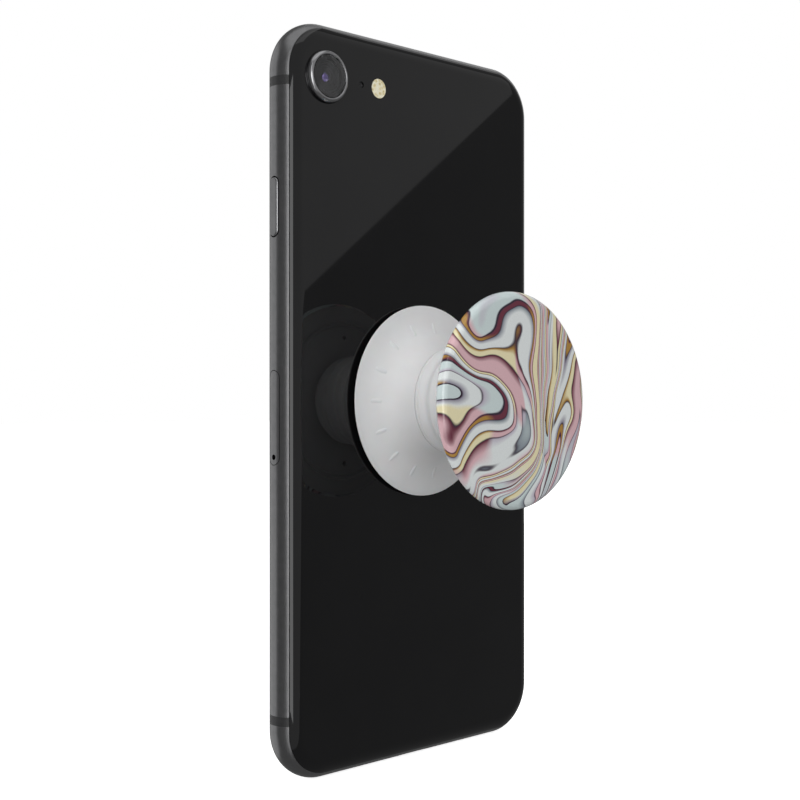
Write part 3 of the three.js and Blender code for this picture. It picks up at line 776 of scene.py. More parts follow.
def contact_card():
    """White card with a gold contact pad in its middle."""
    material = start_material("contact_card", (0.72, 0.72, 0.73), 0.35)
    low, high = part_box("sim_card")
    middle = (low + high) / 2
    split = split_coordinates(material)
    pad = maths(material, "MULTIPLY", inside_band(material, split["X"], middle.x, PAD_HALF_X),
                inside_band(material, split["Z"], middle.z, PAD_HALF_Z))
    gap_x = inside_band(material, split["X"], middle.x, 1.5 * PAD_GAP)
    rows = maths(material, "PINGPONG", maths(material, "SUBTRACT", split["Z"], middle.z), PAD_ROW)
    gaps = maths(material, "MAXIMUM", gap_x, maths(material, "LESS_THAN", rows, PAD_GAP))
    gold = maths(material, "MULTIPLY", pad, maths(material, "SUBTRACT", 1.0, gaps))
    white = ramp(material, noise(material, 900), [(0.3, (0.70, 0.70, 0.71)), (0.7, (0.76, 0.76, 0.77))])
    set_colour(material, mix(material, gold, white, (0.72, 0.49, 0.18)))
    fill(material, shader_of(material).inputs["Metallic"], gold)
    return material


def gold_contact():
    return varied("gold_contact", (0.78, 0.55, 0.22), 0.25, 1.0,
                  tones=((0.7, 0.48, 0.18), (0.82, 0.6, 0.26), 2000))


def dense_metal():
    return varied("dense_metal", (0.18, 0.18, 0.19), 0.4, 1.0, bumps=(3000, 0.2, 0.00005),
                  tones=((0.15, 0.15, 0.16), (0.22, 0.22, 0.23), 500))


ALUMINIUM = blasted_aluminium()
RING_METAL = polished_ring()
ANTENNA = antenna_plastic()
BACK_GLASS = back_glass_finish()
DISPLAY_GLASS = display_glass_finish()
GRIP_PLASTIC = satin_white("grip_plastic", (0.80, 0.80, 0.805), (0.77, 0.77, 0.775), 0.42)
GRIP_RUBBER = satin_white("grip_elastomer", (0.78, 0.78, 0.785), (0.75, 0.75, 0.755), 0.55)
# The dashes take a lighter copy of the flare's white: a painted highlight on the raised marks.
GRIP_DASH_HIGHLIGHT = satin_white("grip_dash_painted_highlight", (0.88, 0.88, 0.885), (0.86, 0.86, 0.865), 0.35)
MARBLE = marbled_print()
FLASH = flash_painted_glow()
STEEL = brushed_steel()
BLACK_PLASTIC = matte_black("black_plastic", 0.018, 0.5)
TACKY_PAD = matte_black("tacky_pad", 0.04, 0.6)
SCREEN = perforated("metal_screen", 0.3 * MM)
GOLD = gold_contact()

# ---------------- frame


def build_frame_ends():
    """The top and bottom U-shaped pieces; the bottom one is drilled for the port and speakers."""
    for name, sign in (("frame_top", 1), ("frame_bottom", -1)):
        low, high = mm_box(name)
        from_z = low.z if sign > 0 else -high.z
        solid = mesh_object(f"{name}_fine", sweep(end_stations(sign, from_z), frame_section(low.y, high.y)))
        if sign < 0:
            drill_bottom(solid)
        place(solid, ALUMINIUM, "root", [name])


SPEAKER_FIRST = 12.9
SPEAKER_PITCH = 2.3
SPEAKER_RADIUS = 0.75
SPEAKER_COUNT = 6


def drill_bottom(solid):
    port_low, port_high = mm_box("charge_port")
    width = port_high.x - port_low.x + 2 * BOND
    height = port_high.y - port_low.y + 2 * BOND
    below, above = -HALF_HEIGHT - CUT_PAST, -HALF_HEIGHT + 2 * WALL
    combine(solid, prism(stadium((0, MIDDLE), width, height), "z", below, above))
    for sign in (-1, 1):
        screw = "screw_right" if sign > 0 else "screw_left"
        low, high = mm_box(screw)
        middle = mm_middle(screw)
        radius = (high.x - low.x) / 2 + BOND
        combine(solid, bar_along("z", (middle.x, middle.y), radius, below, above))
        for i in range(SPEAKER_COUNT):
            x = sign * (SPEAKER_FIRST + SPEAKER_PITCH * i)
            combine(solid, bar_along("z", (x, MIDDLE), SPEAKER_RADIUS, below, above))


def side_length(name, side, spare=0.0):
    """A straight length of the frame between a node's ends, longer by spare at each."""
    low, high = mm_box(name)
    x = side * (HALF_WIDTH - CORNER)
    stations = straight_stations((x, low.z - spare), (x, high.z + spare), (side, 0))
    return mesh_object(f"{name}_fine", sweep(stations, frame_section(low.y, high.y)))


def build_rail(name, side):
    """A side rail with slots for what moves in it."""
    solid = side_length(name, side)
    inner, outer = side * (HALF_WIDTH - WALL - CUT_PAST), side * (HALF_WIDTH + CUT_PAST)
    if side > 0:
        slots = ["power_button", "sim_tray"]
    else:
        slots = ["volume_up_button", "volume_down_button", "ring_switch"]
    for piece in slots:
        centre, length, width = side_opening(piece)
        gap = KEY_GAP if piece.endswith("button") else RUNNING
        combine(solid, slot_cutter(centre, length + 2 * gap, width + 2 * gap, inner, outer))
    place(solid, ALUMINIUM, "root", [name])


KEY_WIDTH = 2.2
KEY_GAP = 0.19
KEY_DEPTH = 1.7
KEY_FILLET = 0.32
STEM_WIDTH = 1.2
STEM_LENGTH = 3.0
STEM_OVERLAP = 0.4
POLISHED_ABOVE = 0.25
SWITCH_LENGTH = 5.0
SWITCH_WIDTH = 1.6
SWITCH_TRAVEL = 1.2
SWITCH_FILLET = 0.16
SWITCH_PLATE = 0.4
SWITCH_GROOVE_FROM_END = 1.2
SWITCH_GROOVE_WIDTH = 0.2
SWITCH_GROOVE_DEPTH = 0.12


def side_opening(piece):
    """Centre (z, y), length and width of the opening that a side piece needs, less clearance."""
    low, high = mm_box(piece)
    middle = mm_middle(piece)
    if piece == "ring_switch":
        return (middle.z, middle.y + SWITCH_TRAVEL / 2), SWITCH_LENGTH, SWITCH_WIDTH + SWITCH_TRAVEL
    return (middle.z, middle.y), high.z - low.z, high.y - low.y


def build_bands():
    for end in ("top", "bottom"):
        for hand, side in (("left", -1), ("right", 1)):
            name = f"antenna_band_{end}_{hand}"
            place(side_length(name, side, BOND), ANTENNA, "root", [name])


def build_keys():
    """Key caps with polished rounded edges, each with the stem that presses its switch."""
    for name, body in (("power_button", "power_button"), ("volume_up_button", "volume_up"),
                       ("volume_down_button", "volume_down")):
        low, high = mm_box(name)
        side = 1 if high.x > 0 else -1
        face = max(abs(low.x), abs(high.x))
        inner = min(abs(low.x), abs(high.x))
        middle = mm_middle(name)
        cap_inner = face - KEY_DEPTH
        cap = key_solid((middle.z, middle.y), high.z - low.z, KEY_WIDTH, cap_inner, face, KEY_FILLET, side)
        solid = mesh_object(f"{name}_fine", cap)
        stem = Vector((0, STEM_WIDTH / 2, STEM_LENGTH / 2))
        start, end = sorted((side * inner, side * (cap_inner + STEM_OVERLAP)))
        low_corner = Vector((start, middle.y, middle.z)) - stem
        combine(solid, box_between(low_corner, Vector((end, middle.y, middle.z)) + stem), "UNION")
        place(solid, ALUMINIUM, body, [name])
        add_finish(solid, RING_METAL,
                   lambda face: min(face.normal.x * side, abs(face.normal.y)) > POLISHED_ABOVE)


def build_ring_switch():
    """A rocker with two grooves, on the plate that slides behind the rail."""
    low, high = mm_box("ring_switch")
    middle = mm_middle("ring_switch")
    cap = key_solid((middle.z, middle.y), SWITCH_LENGTH, SWITCH_WIDTH, -high.x, -low.x, SWITCH_FILLET, -1)
    solid = mesh_object("ring_switch_fine", cap)
    combine(solid, box_between((high.x - SWITCH_PLATE, low.y, low.z), high), "UNION")
    half = SWITCH_GROOVE_WIDTH / 2
    for sign in (-1, 1):
        z = middle.z + sign * (SWITCH_LENGTH / 2 - SWITCH_GROOVE_FROM_END)
        combine(solid, box_between((low.x - CUT_PAST, low.y - CUT_PAST, z - half),
                                   (low.x + SWITCH_GROOVE_DEPTH, high.y + CUT_PAST, z + half)))
    place(solid, ALUMINIUM, "ring_switch", ["ring_switch"])


# ---------------- SIM tray

TRAY_HEAD_DEPTH = 2.6
CARRIER_THICKNESS = 1.0
CARRIER_WIDTH = 11.4
CARRIER_SHIFT = 1.8
CARRIER_OVERLAP = 0.2
CARRIER_BEVEL = 0.1
CARD_LEDGE = 1.0
EJECT_RADIUS = 0.5
EJECT_FROM_END = 1.36
BODY_SLACK = 0.02


def body_solid():
    """The whole rounded body as one closed solid."""
    stations = whole_stations()
    levels = edge_points(BODY_SLACK, DEPTH - BODY_SLACK, 60)
    return loft([[station_point(s, inset, y) for s in stations] for inset, y in levels])


def build_sim_tray():
    """A head that follows the rail's curve, with an open carrier for the card behind it."""
    low, high = mm_box("sim_tray")
    middle = mm_middle("sim_tray")
    head_inner, outside = HALF_WIDTH - TRAY_HEAD_DEPTH, HALF_WIDTH + CUT_PAST
    head = slot_cutter((middle.z, middle.y), high.z - low.z, high.y - low.y, head_inner, outside)
    solid = mesh_object("sim_tray_fine", head)
    combine(solid, body_solid(), "INTERSECT")
    carrier_z = middle.z + CARRIER_SHIFT
    half = CARRIER_WIDTH / 2
    y0, y1 = middle.y - CARRIER_THICKNESS / 2, middle.y + CARRIER_THICKNESS / 2
    carrier = box_between((low.x, y0, carrier_z - half),
                          (head_inner + CARRIER_OVERLAP, y1, carrier_z + half), CARRIER_BEVEL)
    combine(solid, carrier, "UNION")
    card_low, card_high = mm_box("sim_card")
    gap = Vector((BOND, BOND, BOND))
    pocket_low, pocket_high = card_low - gap, card_high + gap
    combine(solid, box_between(pocket_low, (pocket_high.x, y1 + CUT_PAST, pocket_high.z)))
    combine(solid, box_between((pocket_low.x + CARD_LEDGE, y0 - CUT_PAST, pocket_low.z + CARD_LEDGE),
                               (pocket_high.x - CARD_LEDGE, y1 + CUT_PAST, pocket_high.z - CARD_LEDGE)))
    eject = (middle.y, low.z + EJECT_FROM_END)
    combine(solid, bar_along("x", eject, EJECT_RADIUS, head_inner - CUT_PAST, outside))
    place(solid, ALUMINIUM, "sim_tray", ["sim_tray"])


# ---------------- glasses and what sits in them


def bore_for(solid, piece, start, end):
    """A round hole along Y that fits a piece, bored past both faces."""
    centre, radius, _, _ = round_of(piece)
    combine(solid, bar_along("y", centre, radius + BOND, start - CUT_PAST, end + CUT_PAST, FINE))


def build_back_glass():
    low, high = mm_box("back_glass")
    solid = mesh_object("back_glass_fine", glass_slab(high.y, low.y))
    for piece in ("camera_ring", "flash_window", "rear_microphone"):
        bore_for(solid, piece, low.y, high.y)
    place(solid, BACK_GLASS, "root", ["back_glass"])


def build_display_glass():
    low, high = mm_box("display_glass")
    solid = mesh_object("display_glass_fine", glass_slab(low.y, high.y))
    bore_for(solid, "home_button_ring", low.y, high.y)
    mesh_low, mesh_high = mm_box("earpiece_mesh")
    middle = mm_middle("earpiece_mesh")
    outline = stadium((middle.x, middle.z), mesh_high.x - mesh_low.x + 2 * BOND,
                      mesh_high.z - mesh_low.z + 2 * BOND)
    combine(solid, prism(outline, "y", low.y - CUT_PAST, high.y + CUT_PAST))
    place(solid, DISPLAY_GLASS, "root", ["display_glass"])


def plain_disc(radius, front, back):
    return [(0, front), (radius, front), (radius, back), (0, back)]


def plain_ring(inside, outside, front, back):
    return [(inside, front), (outside, front), (outside, back), (inside, back)]


HOME_CHAMFER = (0.12, 0.16)


def build_home_button():
    """A flat glass disc in a thin polished ring."""
    centre, radius, front, back = round_of("home_button")
    disc = [(0, front), (radius * 0.6, front), (radius, front), (radius, back), (0, back)]
    turned("home_button_fine", softened(disc, 0.12), centre, BACK_GLASS, "root",
           ["home_button"])
    _, outer, front, back = round_of("home_button_ring")
    inner = radius + BOND
    across, deep = HOME_CHAMFER
    ring = [(inner, back), (inner, front + deep), (inner + across, front), (outer, front), (outer, back)]
    turned("home_button_ring_fine", softened(ring, 0.04, closed=True), centre, RING_METAL, "root",
           ["home_button_ring"], closed=True)


RING_STEP = 0.62
RING_SHOULDER = (0.22, 0.2)
RING_CROWN = 0.55
RING_DIP = (0.1, 0.04)
RING_SOFTENING = 0.26


def build_camera():
    """The raised ring, the cover glass and the lens stack behind it."""
    centre, outer, front, back = round_of("camera_ring")
    _, glass_radius, glass_front, glass_back = round_of("camera_cover_glass")
    inner = glass_radius + BOND
    shoulder_in, shoulder_down = RING_SHOULDER
    dip_in, dip_down = RING_DIP
    ring = [(inner, front), (outer, front), (outer, back - RING_STEP),
            (outer - shoulder_in, back - shoulder_down), (outer - RING_CROWN, back),
            (inner + dip_in, back - dip_down), (inner, back - shoulder_down)]
    turned("camera_ring_fine", softened(ring, RING_SOFTENING, 6, True), centre, RING_METAL, "root",
           ["camera_ring"], closed=True)
    cover = plain_disc(glass_radius, glass_front, glass_back)
    turned("camera_cover_fine", softened(cover, 0.06), centre, camera_cover_finish(), "root",
           ["camera_cover_glass"])
    build_masks(centre, glass_radius, glass_front)
    build_lens()


LENS_BLACK = (0.003, 0.003, 0.0035)
MASK_THICKNESS = 0.6
MASK_BEHIND_GLASS = 0.04
INK_RIM = 0.55
BARREL_GAP = 0.08


def build_masks(centre, glass_radius, glass_front):
    """The dark mask under the cover glass, with a deeper black rim of ink."""
    barrel_radius = round_of("camera_lens_barrel")[1]
    metres = (centre[0] * MM, centre[1] * MM)
    rings = ringed_black("lens_mask", metres, 0.3 * MM, LENS_BLACK, (0.007, 0.007, 0.0075))
    ink = matte_black("lens_rim_ink", 0.0015, 0.9)
    ink_radius = glass_radius - INK_RIM
    back = glass_front - MASK_BEHIND_GLASS
    for name, inside, outside, material in (
            ("camera_mask", barrel_radius + BARREL_GAP, ink_radius, rings),
            ("camera_mask_rim", ink_radius, glass_radius, ink)):
        mask = plain_ring(inside, outside, back - MASK_THICKNESS, back)
        turned(name, softened(mask, 0.02, 2, True), centre, material, "root", closed=True)


LENS_RADIUS = 0.85
LENS_RISE = 0.4
BARREL_RIM = 0.35
WELL_DEPTH = 0.55
WELL_STEPS = 4
WELL_TREAD = 0.3


def build_lens():
    """A ringed barrel that steps down to a small domed lens in its middle."""
    centre, radius, front, back = round_of("camera_lens_barrel")
    metres = (centre[0] * MM, centre[1] * MM)
    rings = ringed_black("lens_barrel", metres, 0.22 * MM, LENS_BLACK, (0.012, 0.012, 0.013))
    rim = radius - BARREL_RIM
    well_floor = back - WELL_DEPTH
    profile = [(0, front), (radius, front), (radius, back), (rim, back)]
    for i in range(WELL_STEPS):
        step = rim - (rim - LENS_RADIUS) * (i + 1) / WELL_STEPS
        y = back - (back - well_floor) * (i + 1) / WELL_STEPS
        profile += [(step + WELL_TREAD, y), (step, y)]
    profile.append((0, well_floor - 0.1))
    turned("camera_barrel_fine", softened(profile, 0.04, 2), centre, rings, "camera_lens",
           ["camera_lens_barrel"])

    foot = well_floor - 0.3
    dome = [(0, foot), (LENS_RADIUS, foot)]
    turns = 10
    for i in range(turns):
        t = math.pi / 2 * i / turns
        dome.append((LENS_RADIUS * math.cos(t), well_floor - 0.05 + LENS_RISE * math.sin(t)))
    dome.append((0, well_floor - 0.05 + LENS_RISE))
    turned("camera_front_lens", dome, centre, violet_lens(), "camera_lens")


FLASH_GROOVES = 5


def build_flash_and_microphone():
    """A finely grooved flash window, and a small meshed cup for the microphone."""
    centre, radius, front, back = round_of("flash_window")
    profile = [(0, front), (radius, front), (radius, back - 0.05)]
    for i in range(FLASH_GROOVES):
        r = radius * (1 - (i + 0.5) / FLASH_GROOVES)
        profile += [(r + 0.1, back - 0.02), (r, back - 0.09)]
    profile.append((0, back - 0.02))
    turned("flash_window_fine", softened(profile, 0.05, 3), centre, FLASH, "root",
           ["flash_window"])

    centre, radius, front, back = round_of("rear_microphone")
    cup = [(0, front), (radius, front), (radius, back), (radius - 0.12, back), (radius - 0.2, back - 0.15),
           (0, back - 0.15)]
    turned("rear_microphone_fine", softened(cup, 0.04, 3), centre, SCREEN, "root",
           ["rear_microphone"], steps=48)


# ---------------- bottom end


SCREW_CHAMFER = 0.12
RECESS_LOBES = 5
RECESS_RADIUS = 0.34
RECESS_WAVE = 0.08
RECESS_DEPTH = 0.45
RECESS_STEPS = 60


def build_screws():
    """Small screws with a five-lobed recess."""
    for name in ("screw_left", "screw_right"):
        low, high = mm_box(name)
        middle = mm_middle(name)
        centre = (middle.x, middle.y)
        radius = (high.x - low.x) / 2
        stops = [(radius - SCREW_CHAMFER, low.z), (radius - SCREW_CHAMFER / 4, low.z + SCREW_CHAMFER / 3),
                 (radius, low.z + SCREW_CHAMFER), (radius, high.z)]
        solid = mesh_object(f"{name}_fine", loft([[(x, y, z) for x, y in circle(centre, r)]
                                                  for r, z in stops]))
        lobes = []
        for i in range(RECESS_STEPS):
            t = 2 * math.pi * i / RECESS_STEPS
            r = RECESS_RADIUS + RECESS_WAVE * math.cos(RECESS_LOBES * t)
            lobes.append((middle.x + r * math.cos(t), middle.y + r * math.sin(t)))
        combine(solid, prism(lobes, "z", low.z - CUT_PAST, low.z + RECESS_DEPTH))
        place(solid, STEEL, "root", [name])


PORT_WALL = 0.4
CONTACTS = 8
CONTACT_PITCH = 0.78
CONTACT_WIDTH = 0.4
CONTACT_FROM_WALL = (0.12, 0.02)
CONTACT_REACH = (2.2, 6.8)


def build_port_contacts():
    """Eight gilded contacts along one wall of the port."""
    low, high = mm_box("charge_port")
    top = high.y - PORT_WALL
    parts = bmesh.new()
    for i in range(CONTACTS):
        x = (i - (CONTACTS - 1) / 2) * CONTACT_PITCH
        corners = [(x + sign * CONTACT_WIDTH / 2, top - drop, low.z + reach)
                   for sign, drop, reach in zip((-1, 1), CONTACT_FROM_WALL, CONTACT_REACH)]
        strip = box_between(*corners, 0.03)
        mesh = bpy.data.meshes.new("strip")
        strip.to_mesh(mesh)
        strip.free()
        parts.from_mesh(mesh)
        bpy.data.meshes.remove(mesh)
    place(mesh_object("port_contacts", parts), GOLD, "root")


# ---------------- grip


BASE_CHAMFER = 0.15


def build_pad_and_base():
    centre, *sizes = round_of("grip_adhesive")
    turned("grip_adhesive_fine", softened(plain_disc(*sizes), 0.15), centre, TACKY_PAD, "root",
           ["grip_adhesive"])
    centre, radius, front, back = round_of("grip_base")
    base = [(0, front), (radius - BASE_CHAMFER, front), (radius, front + BASE_CHAMFER), (radius, back),
            (0, back)]
    turned("grip_base_fine", softened(base, 0.14), centre, GRIP_PLASTIC, "root",
           ["grip_base"])


FLARE_WALL = 0.8
FLARE_CONTROL_RADIUS = 10.6
FLARE_CONTROL_RISE = 0.5
FLARE_STEPS = 40
FLARE_EDGE = 0.1
NECK_RADIUS = 10.0


def flare_curve(t):
    """The flare's outer surface as (radius, y), from its rim (t 0) to the neck (t 1)."""
    low, high = mm_box("grip_lower_cone")
    ends = (high.x, low.y), (NECK_RADIUS, high.y)
    control = (FLARE_CONTROL_RADIUS, low.y + FLARE_CONTROL_RISE)
    weights = (1 - t) ** 2, 2 * t * (1 - t), t * t
    return tuple(weights[0] * a + weights[1] * c + weights[2] * b
                 for a, c, b in zip(ends[0], control, ends[1]))


HALVINGS = 40


def flare_place(radius):
    """The height of the flare's outer surface at a radius."""
    low_t, high_t = 0.0, 1.0
    for _ in range(HALVINGS):
        middle = (low_t + high_t) / 2
        if flare_curve(middle)[0] > radius:
            low_t = middle
        else:
            high_t = middle
    return flare_curve(low_t)[1]


DASH_COUNT = 15
DASH_RADII = (13.0, 15.2)
DASH_WIDTH = 0.8
DASH_RAISE = 0.14
DASH_SINK = 0.25
DASH_SOFTENING = 0.12


def add_dashes(bm):
    """A ring of plain raised dashes on the flare, each a closed little pillow; their faces take the second
    material, a lighter white that paints a highlight on them.
    """
    for i in range(DASH_COUNT):
        middle = 2 * math.pi * i / DASH_COUNT
        rings = []
        for raise_by, shrink in ((-DASH_SINK, 0.0), (DASH_RAISE * 0.4, 0.0), (DASH_RAISE, DASH_SOFTENING)):
            points = []
            for along, across in stadium((0, 0), DASH_RADII[1] - DASH_RADII[0], DASH_WIDTH, shrink, 8):
                radius = (DASH_RADII[0] + DASH_RADII[1]) / 2 + along
                turn = middle + across / radius
                points.append((radius * math.cos(turn), flare_place(radius) + raise_by,
                               radius * math.sin(turn)))
            rings.append(ring_of(points, bm))
        known = set(bm.faces)
        for a, b in zip(rings, rings[1:]):
            bridge(bm, a, b)
        bm.faces.new(rings[0])
        bm.faces.new(rings[-1])
        for face in set(bm.faces) - known:
            face.material_index = 1


def build_flare():
    """The soft foot that sweeps up to the neck."""
    low, _ = mm_box("grip_lower_cone")
    outer = [flare_curve(i / FLARE_STEPS) for i in range(FLARE_STEPS + 1)]
    inner = [(r - FLARE_WALL, y) for r, y in outer[4:]][::-1]
    rim = outer[0][0]
    profile = [(rim - 3 * FLARE_WALL, low.y), (rim - FLARE_EDGE, low.y), (rim, low.y + 0.8 * FLARE_EDGE)]
    profile += [(r, y + FLARE_EDGE * (1 - i / FLARE_STEPS)) for i, (r, y) in enumerate(outer) if i > 0]
    profile += inner
    bm = lathe(profile, steps=128, closed=True)
    add_dashes(bm)
    flare = place(mesh_object("grip_flare", bm), GRIP_RUBBER, "root", ["grip_lower_cone"], 40)
    # the dashes' lighter white is a painted highlight
    flare.data.materials.append(GRIP_DASH_HIGHLIGHT)
    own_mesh(flare)


SLEEVE_WALL = 0.22
SLEEVE_TOP_RADIUS = 9.05
FOLDS = 4
FOLD_DEPTH = 0.5
SLEEVE_STEPS = 64
HUB_BORE = 8.45


def sleeve_radius(t):
    """Ridges and valleys that narrow towards the hub."""
    ridge = NECK_RADIUS - 0.05 + (SLEEVE_TOP_RADIUS - NECK_RADIUS) * t
    wave = (0.5 - 0.5 * math.cos(2 * math.pi * FOLDS * t)) ** 0.8
    return ridge - FOLD_DEPTH * wave


def build_sleeve():
    """The folded sleeve above the neck."""
    low, high = mm_box("grip_upper_cone")
    outer = [(sleeve_radius(i / SLEEVE_STEPS), low.y + (high.y - low.y) * i / SLEEVE_STEPS)
             for i in range(SLEEVE_STEPS + 1)]
    inner = [(r - SLEEVE_WALL, y) for r, y in outer][::-1]
    bm = lathe(outer + inner, closed=True)
    sleeve = place(mesh_object("grip_sleeve", bm), GRIP_RUBBER, "grip_neck",
                   ["grip_upper_cone"], 40)
    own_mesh(sleeve)


def build_neck_and_hub():
    centre, *sizes = round_of("grip_neck_ring")
    turned("grip_neck_ring_fine", softened(plain_ring(HUB_BORE, *sizes), 0.2, 4, True), centre,
           GRIP_PLASTIC, "grip_neck", ["grip_neck_ring"], closed=True)
    centre, *sizes = round_of("grip_hub")
    turned("grip_hub_fine", softened(plain_disc(*sizes), 0.25), centre, GRIP_PLASTIC, "grip_hub",
           ["grip_hub"])


DISC_FOOT_RADIUS = 16.9
DISC_FOOT_DROP = 1.0
DISC_TAPER = 0.45
DISC_ROUND = 1.33
DISC_PLAIN_FOOT = 0.6
GROOVE_FROM_FOOT = 1.2
GROOVE_DEPTH = 0.25
GROOVE_HALF = (0.5, 0.3)
PIT_PLACE = 13.0
PIT_RADIUS = 0.5
PIT_DEPTH = 0.8


def build_top_disc():
    """The printed disc: its foot tapers out to the widest line, and its top corner is round."""
    centre, radius, foot, top = round_of("grip_top_disc")
    groove = DISC_FOOT_RADIUS - GROOVE_FROM_FOOT
    wide, narrow = GROOVE_HALF
    floor = foot + GROOVE_DEPTH
    profile = [(0, foot), (groove - wide, foot), (groove - narrow, floor), (groove + narrow, floor),
               (groove + wide, foot), (DISC_FOOT_RADIUS, foot), (radius - DISC_TAPER, foot + DISC_FOOT_DROP)]
    profile = softened(profile, 0.3, 4)
    turns = 16
    for i in range(turns + 1):
        t = math.pi / 2 * i / turns
        profile.append((radius - DISC_ROUND + DISC_ROUND * math.cos(t),
                        top - DISC_ROUND + DISC_ROUND * math.sin(t)))
    profile += [(radius - 2 * DISC_ROUND, top), (radius / 2, top), (0, top)]
    solid = mesh_object("grip_top_disc_fine", lathe(profile, centre, steps=160))
    for side in (-1, 1):
        hole = (centre[0], centre[1] + side * PIT_PLACE)
        combine(solid, bar_along("y", hole, PIT_RADIUS, foot - CUT_PAST, foot + PIT_DEPTH))
    place(solid, MARBLE, "grip_top", ["grip_top_disc"], 30)
    add_finish(solid, GRIP_PLASTIC, lambda face: face.center.y < (foot + DISC_PLAIN_FOOT) * MM)


# ---------------- carried-over CAD nodes


def finish_cad_nodes():
    """Gives each CAD node that stays a material of its own kind."""
    by_slot = {
        "steel": STEEL,
        "plastic_black": BLACK_PLASTIC,
        "camera_glass": ringed_black("lens_cell", (0, 0), 0.2 * MM, (0.006,) * 3, (0.02,) * 3),
        "display_stack": matte_black("display_module", 0.012, 0.3),
        "board": circuit_board(),
        "cell": foil_pouch(),
        "copper": wound_copper(),
        # the flash node takes the same painted glow
        "flash": FLASH,
        "card": contact_card(),
        "mass": dense_metal(),
        "frame": ALUMINIUM,
    }
    screens = ("earpiece_mesh", "speaker_mesh_left", "speaker_mesh_right")
    for subpart in frame["record"]["subparts"]:
        name = subpart["node"]
        obj = frame["nodes"][name]
        if obj.hide_render:
            continue
        finish = SCREEN if name in screens else by_slot[subpart["material_slot"]]
        obj.data.materials.clear()
        obj.data.materials.append(finish)


# ---------------- studio

VIEW_LENS = 61.09
VIEW_AZIMUTH = 135.27
VIEW_PITCH = -0.098
VIEW_DISTANCE = 0.267115
VIEW_SHIFT_RIGHT = -0.001374
VIEW_SHIFT_UP = 0.000124


def add_camera():
    """A 61 mm lens behind the phone, level with its middle and an eighth of a turn to one side."""
    data = bpy.data.cameras.new("camera")
    data.lens = VIEW_LENS
    data.sensor_width = 36
    data.clip_start = 0.005
    camera = bpy.data.objects.new("camera", data)
    bpy.context.scene.collection.objects.link(camera)
    turn = Matrix.Rotation(math.radians(VIEW_AZIMUTH), 4, "Z")
    tilt = Matrix.Rotation(math.radians(90 + VIEW_PITCH), 4, "X")
    rotation = turn @ tilt
    offset = rotation @ Vector((VIEW_SHIFT_RIGHT, VIEW_SHIFT_UP, VIEW_DISTANCE))
    camera.matrix_world = Matrix.Translation(Vector((0, MIDDLE * MM, 0)) + offset) @ rotation
    bpy.context.scene.camera = camera
    return camera


def softbox(name, azimuth, elevation, distance, width, height, radiance, glossy=True, diffuse=True):
    """A soft light that faces the phone from a compass direction; azimuth 0 is +X, 90 is +Y."""
    data = bpy.data.lights.new(name, "AREA")
    data.shape = "RECTANGLE"
    data.size = width
    data.size_y = height
    data.energy = radiance * math.pi * width * height
    light = bpy.data.objects.new(name, data)
    bpy.context.scene.collection.objects.link(light)
    a, e = math.radians(azimuth), math.radians(elevation)
    outward = Vector((math.cos(a) * math.cos(e), math.sin(a) * math.cos(e), math.sin(e)))
    light.location = outward * distance
    light.rotation_euler = outward.to_track_quat("Z", "Y").to_euler()
    light.visible_glossy = glossy
    light.visible_diffuse = diffuse
    light.visible_camera = False


CARD_REACH = 6.0
CARD_RADIANCE = 0.44
CARD_EDGE = ((-0.0272, 0.0638), (0.0299, 0.0195))
CARD_HEIGHT = 0.3
CARD_OVERRUN = 4


def glow_node(tree, kind, strength):
    """A glowing shader node of one strength."""
    made = tree.nodes.new(kind)
    made.inputs["Color"].default_value = (1, 1, 1, 1)
    made.inputs["Strength"].default_value = strength
    return made.outputs[0]


def add_glass_card(camera):
    """A large card that the back glass mirrors, with its lower edge running across the glass.

    The card is a patch of the glass plane blown up from the camera's mirror image, so its edge is
    seen in the glass as the straight line through the two points of CARD_EDGE, given in X and Z.
    """
    glass_y = DEPTH * MM
    eye = camera.matrix_world.translation
    mirrored = Vector((eye.x, 2 * glass_y - eye.y, eye.z))
    left, right = [Vector((x, glass_y, z)) for x, z in CARD_EDGE]
    along = right - left
    up = Vector((-along.z, 0, along.x)).normalized() * CARD_HEIGHT
    near = [left - along * CARD_OVERRUN, right + along * CARD_OVERRUN]
    patch = near + [near[1] + up, near[0] + up]
    bm = bmesh.new()
    bm.faces.new([bm.verts.new(mirrored + (p - mirrored) * CARD_REACH) for p in patch])
    card = mesh_object("glass_card", bm)
    material = bpy.data.materials.new("card_light")
    material.use_nodes = True
    tree = material.node_tree
    tree.nodes.clear()
    output = tree.nodes.new("ShaderNodeOutputMaterial")
    tree.links.new(glow_node(tree, "ShaderNodeEmission", CARD_RADIANCE), output.inputs["Surface"])
    card.data.materials.append(material)
    card.visible_camera = False
    card.visible_diffuse = False
    card.visible_shadow = False


FLOOR_HALF = 3.0
FLOOR_DROP = 0.0002
FLOOR_GLOW = 0.85


def add_floor():
    """A plain pale floor under the phone."""
    bm = bmesh.new()
    bmesh.ops.create_grid(bm, x_segments=24, y_segments=24, size=FLOOR_HALF)
    floor = mesh_object("floor", bm)
    floor.location.z = -HALF_HEIGHT * MM - FLOOR_DROP
    floor.data.materials.append(varied(
        "pale_floor", (0.9, 0.9, 0.9), 0.8, tones=((0.89, 0.89, 0.89), (0.92, 0.92, 0.92), 20),
        Emission_Color=(1, 1, 1, 1), Emission_Strength=FLOOR_GLOW))
    floor.visible_glossy = False
    floor.visible_diffuse = False


DIFFUSE_ROOM = 0.42
GLOSSY_ROOM = 0.17
BACKDROP = 1.0


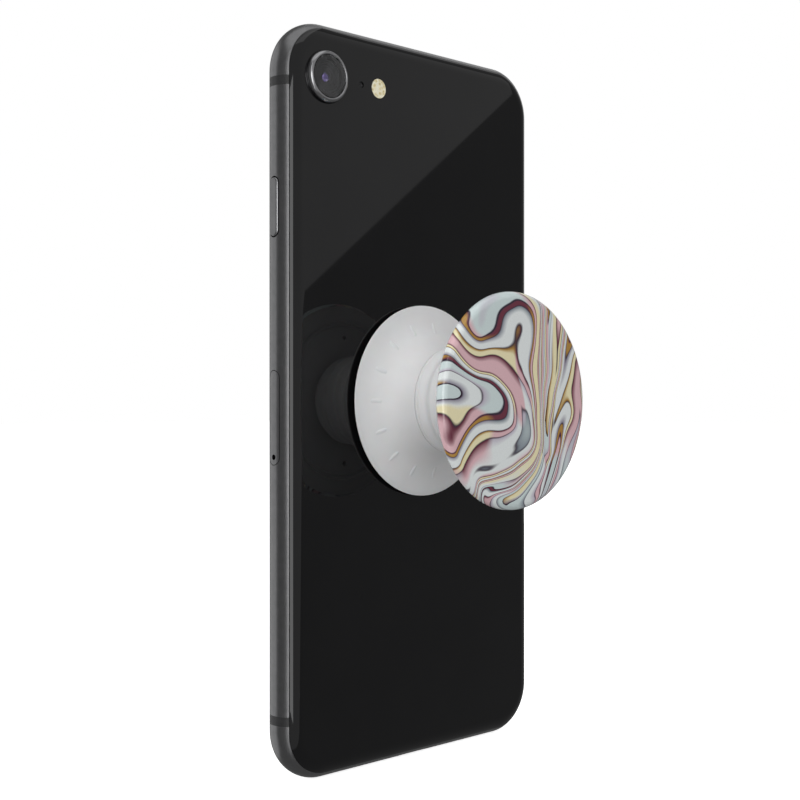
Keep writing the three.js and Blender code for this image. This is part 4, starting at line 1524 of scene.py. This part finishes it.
def add_world():
    """White to the camera, and a dim grey room to everything else."""
    world = bpy.data.worlds.new("studio")
    bpy.context.scene.world = world
    world.use_nodes = True
    tree = world.node_tree
    tree.nodes.clear()
    path = tree.nodes.new("ShaderNodeLightPath").outputs
    surface = glow_node(tree, "ShaderNodeBackground", DIFFUSE_ROOM)
    for ray, strength in (("Is Glossy Ray", GLOSSY_ROOM), ("Is Camera Ray", BACKDROP)):
        choose = tree.nodes.new("ShaderNodeMixShader")
        tree.links.new(path[ray], choose.inputs[0])
        tree.links.new(surface, choose.inputs[1])
        tree.links.new(glow_node(tree, "ShaderNodeBackground", strength), choose.inputs[2])
        surface = choose.outputs[0]
    tree.links.new(surface, tree.nodes.new("ShaderNodeOutputWorld").inputs["Surface"])


def build_studio():
    """The lights: some are seen only in reflections and some light only matt surfaces."""
    bpy.context.scene.view_settings.view_transform = "Standard"
    camera = add_camera()
    add_world()
    add_floor()
    add_glass_card(camera)
    softbox("rim_strip", 76, 0, 1.0, 1.2, 0.62, 2.3, diffuse=False)
    softbox("side_strip", -66, 0, 1.1, 1.3, 2.0, 0.55, diffuse=False)
    softbox("camera_strip", 45, 0, 0.7, 0.14, 1.4, 1.5, diffuse=False)
    softbox("overhead", 60, 82, 0.9, 1.0, 1.0, 0.6)
    softbox("far_strip", 205, 24, 1.2, 0.9, 1.4, 0.45, diffuse=False)
    softbox("underlight", -35, 0, 1.0, 1.0, 1.0, 1.0, glossy=False)
    softbox("key", 48, 32, 1.0, 0.7, 0.7, 2.2, glossy=False)
    softbox("fill", 20, 0, 1.0, 1.2, 1.2, 0.4, glossy=False)


build_studio()
build_frame_ends()
build_rail("frame_rail_right", 1)
build_rail("frame_rail_left", -1)
for build in (build_bands, build_keys, build_ring_switch, build_sim_tray, build_back_glass,
              build_display_glass, build_home_button, build_camera, build_flash_and_microphone,
              build_screws, build_port_contacts, build_pad_and_base, build_flare, build_neck_and_hub,
              build_sleeve, build_top_disc, finish_cad_nodes):
    build()
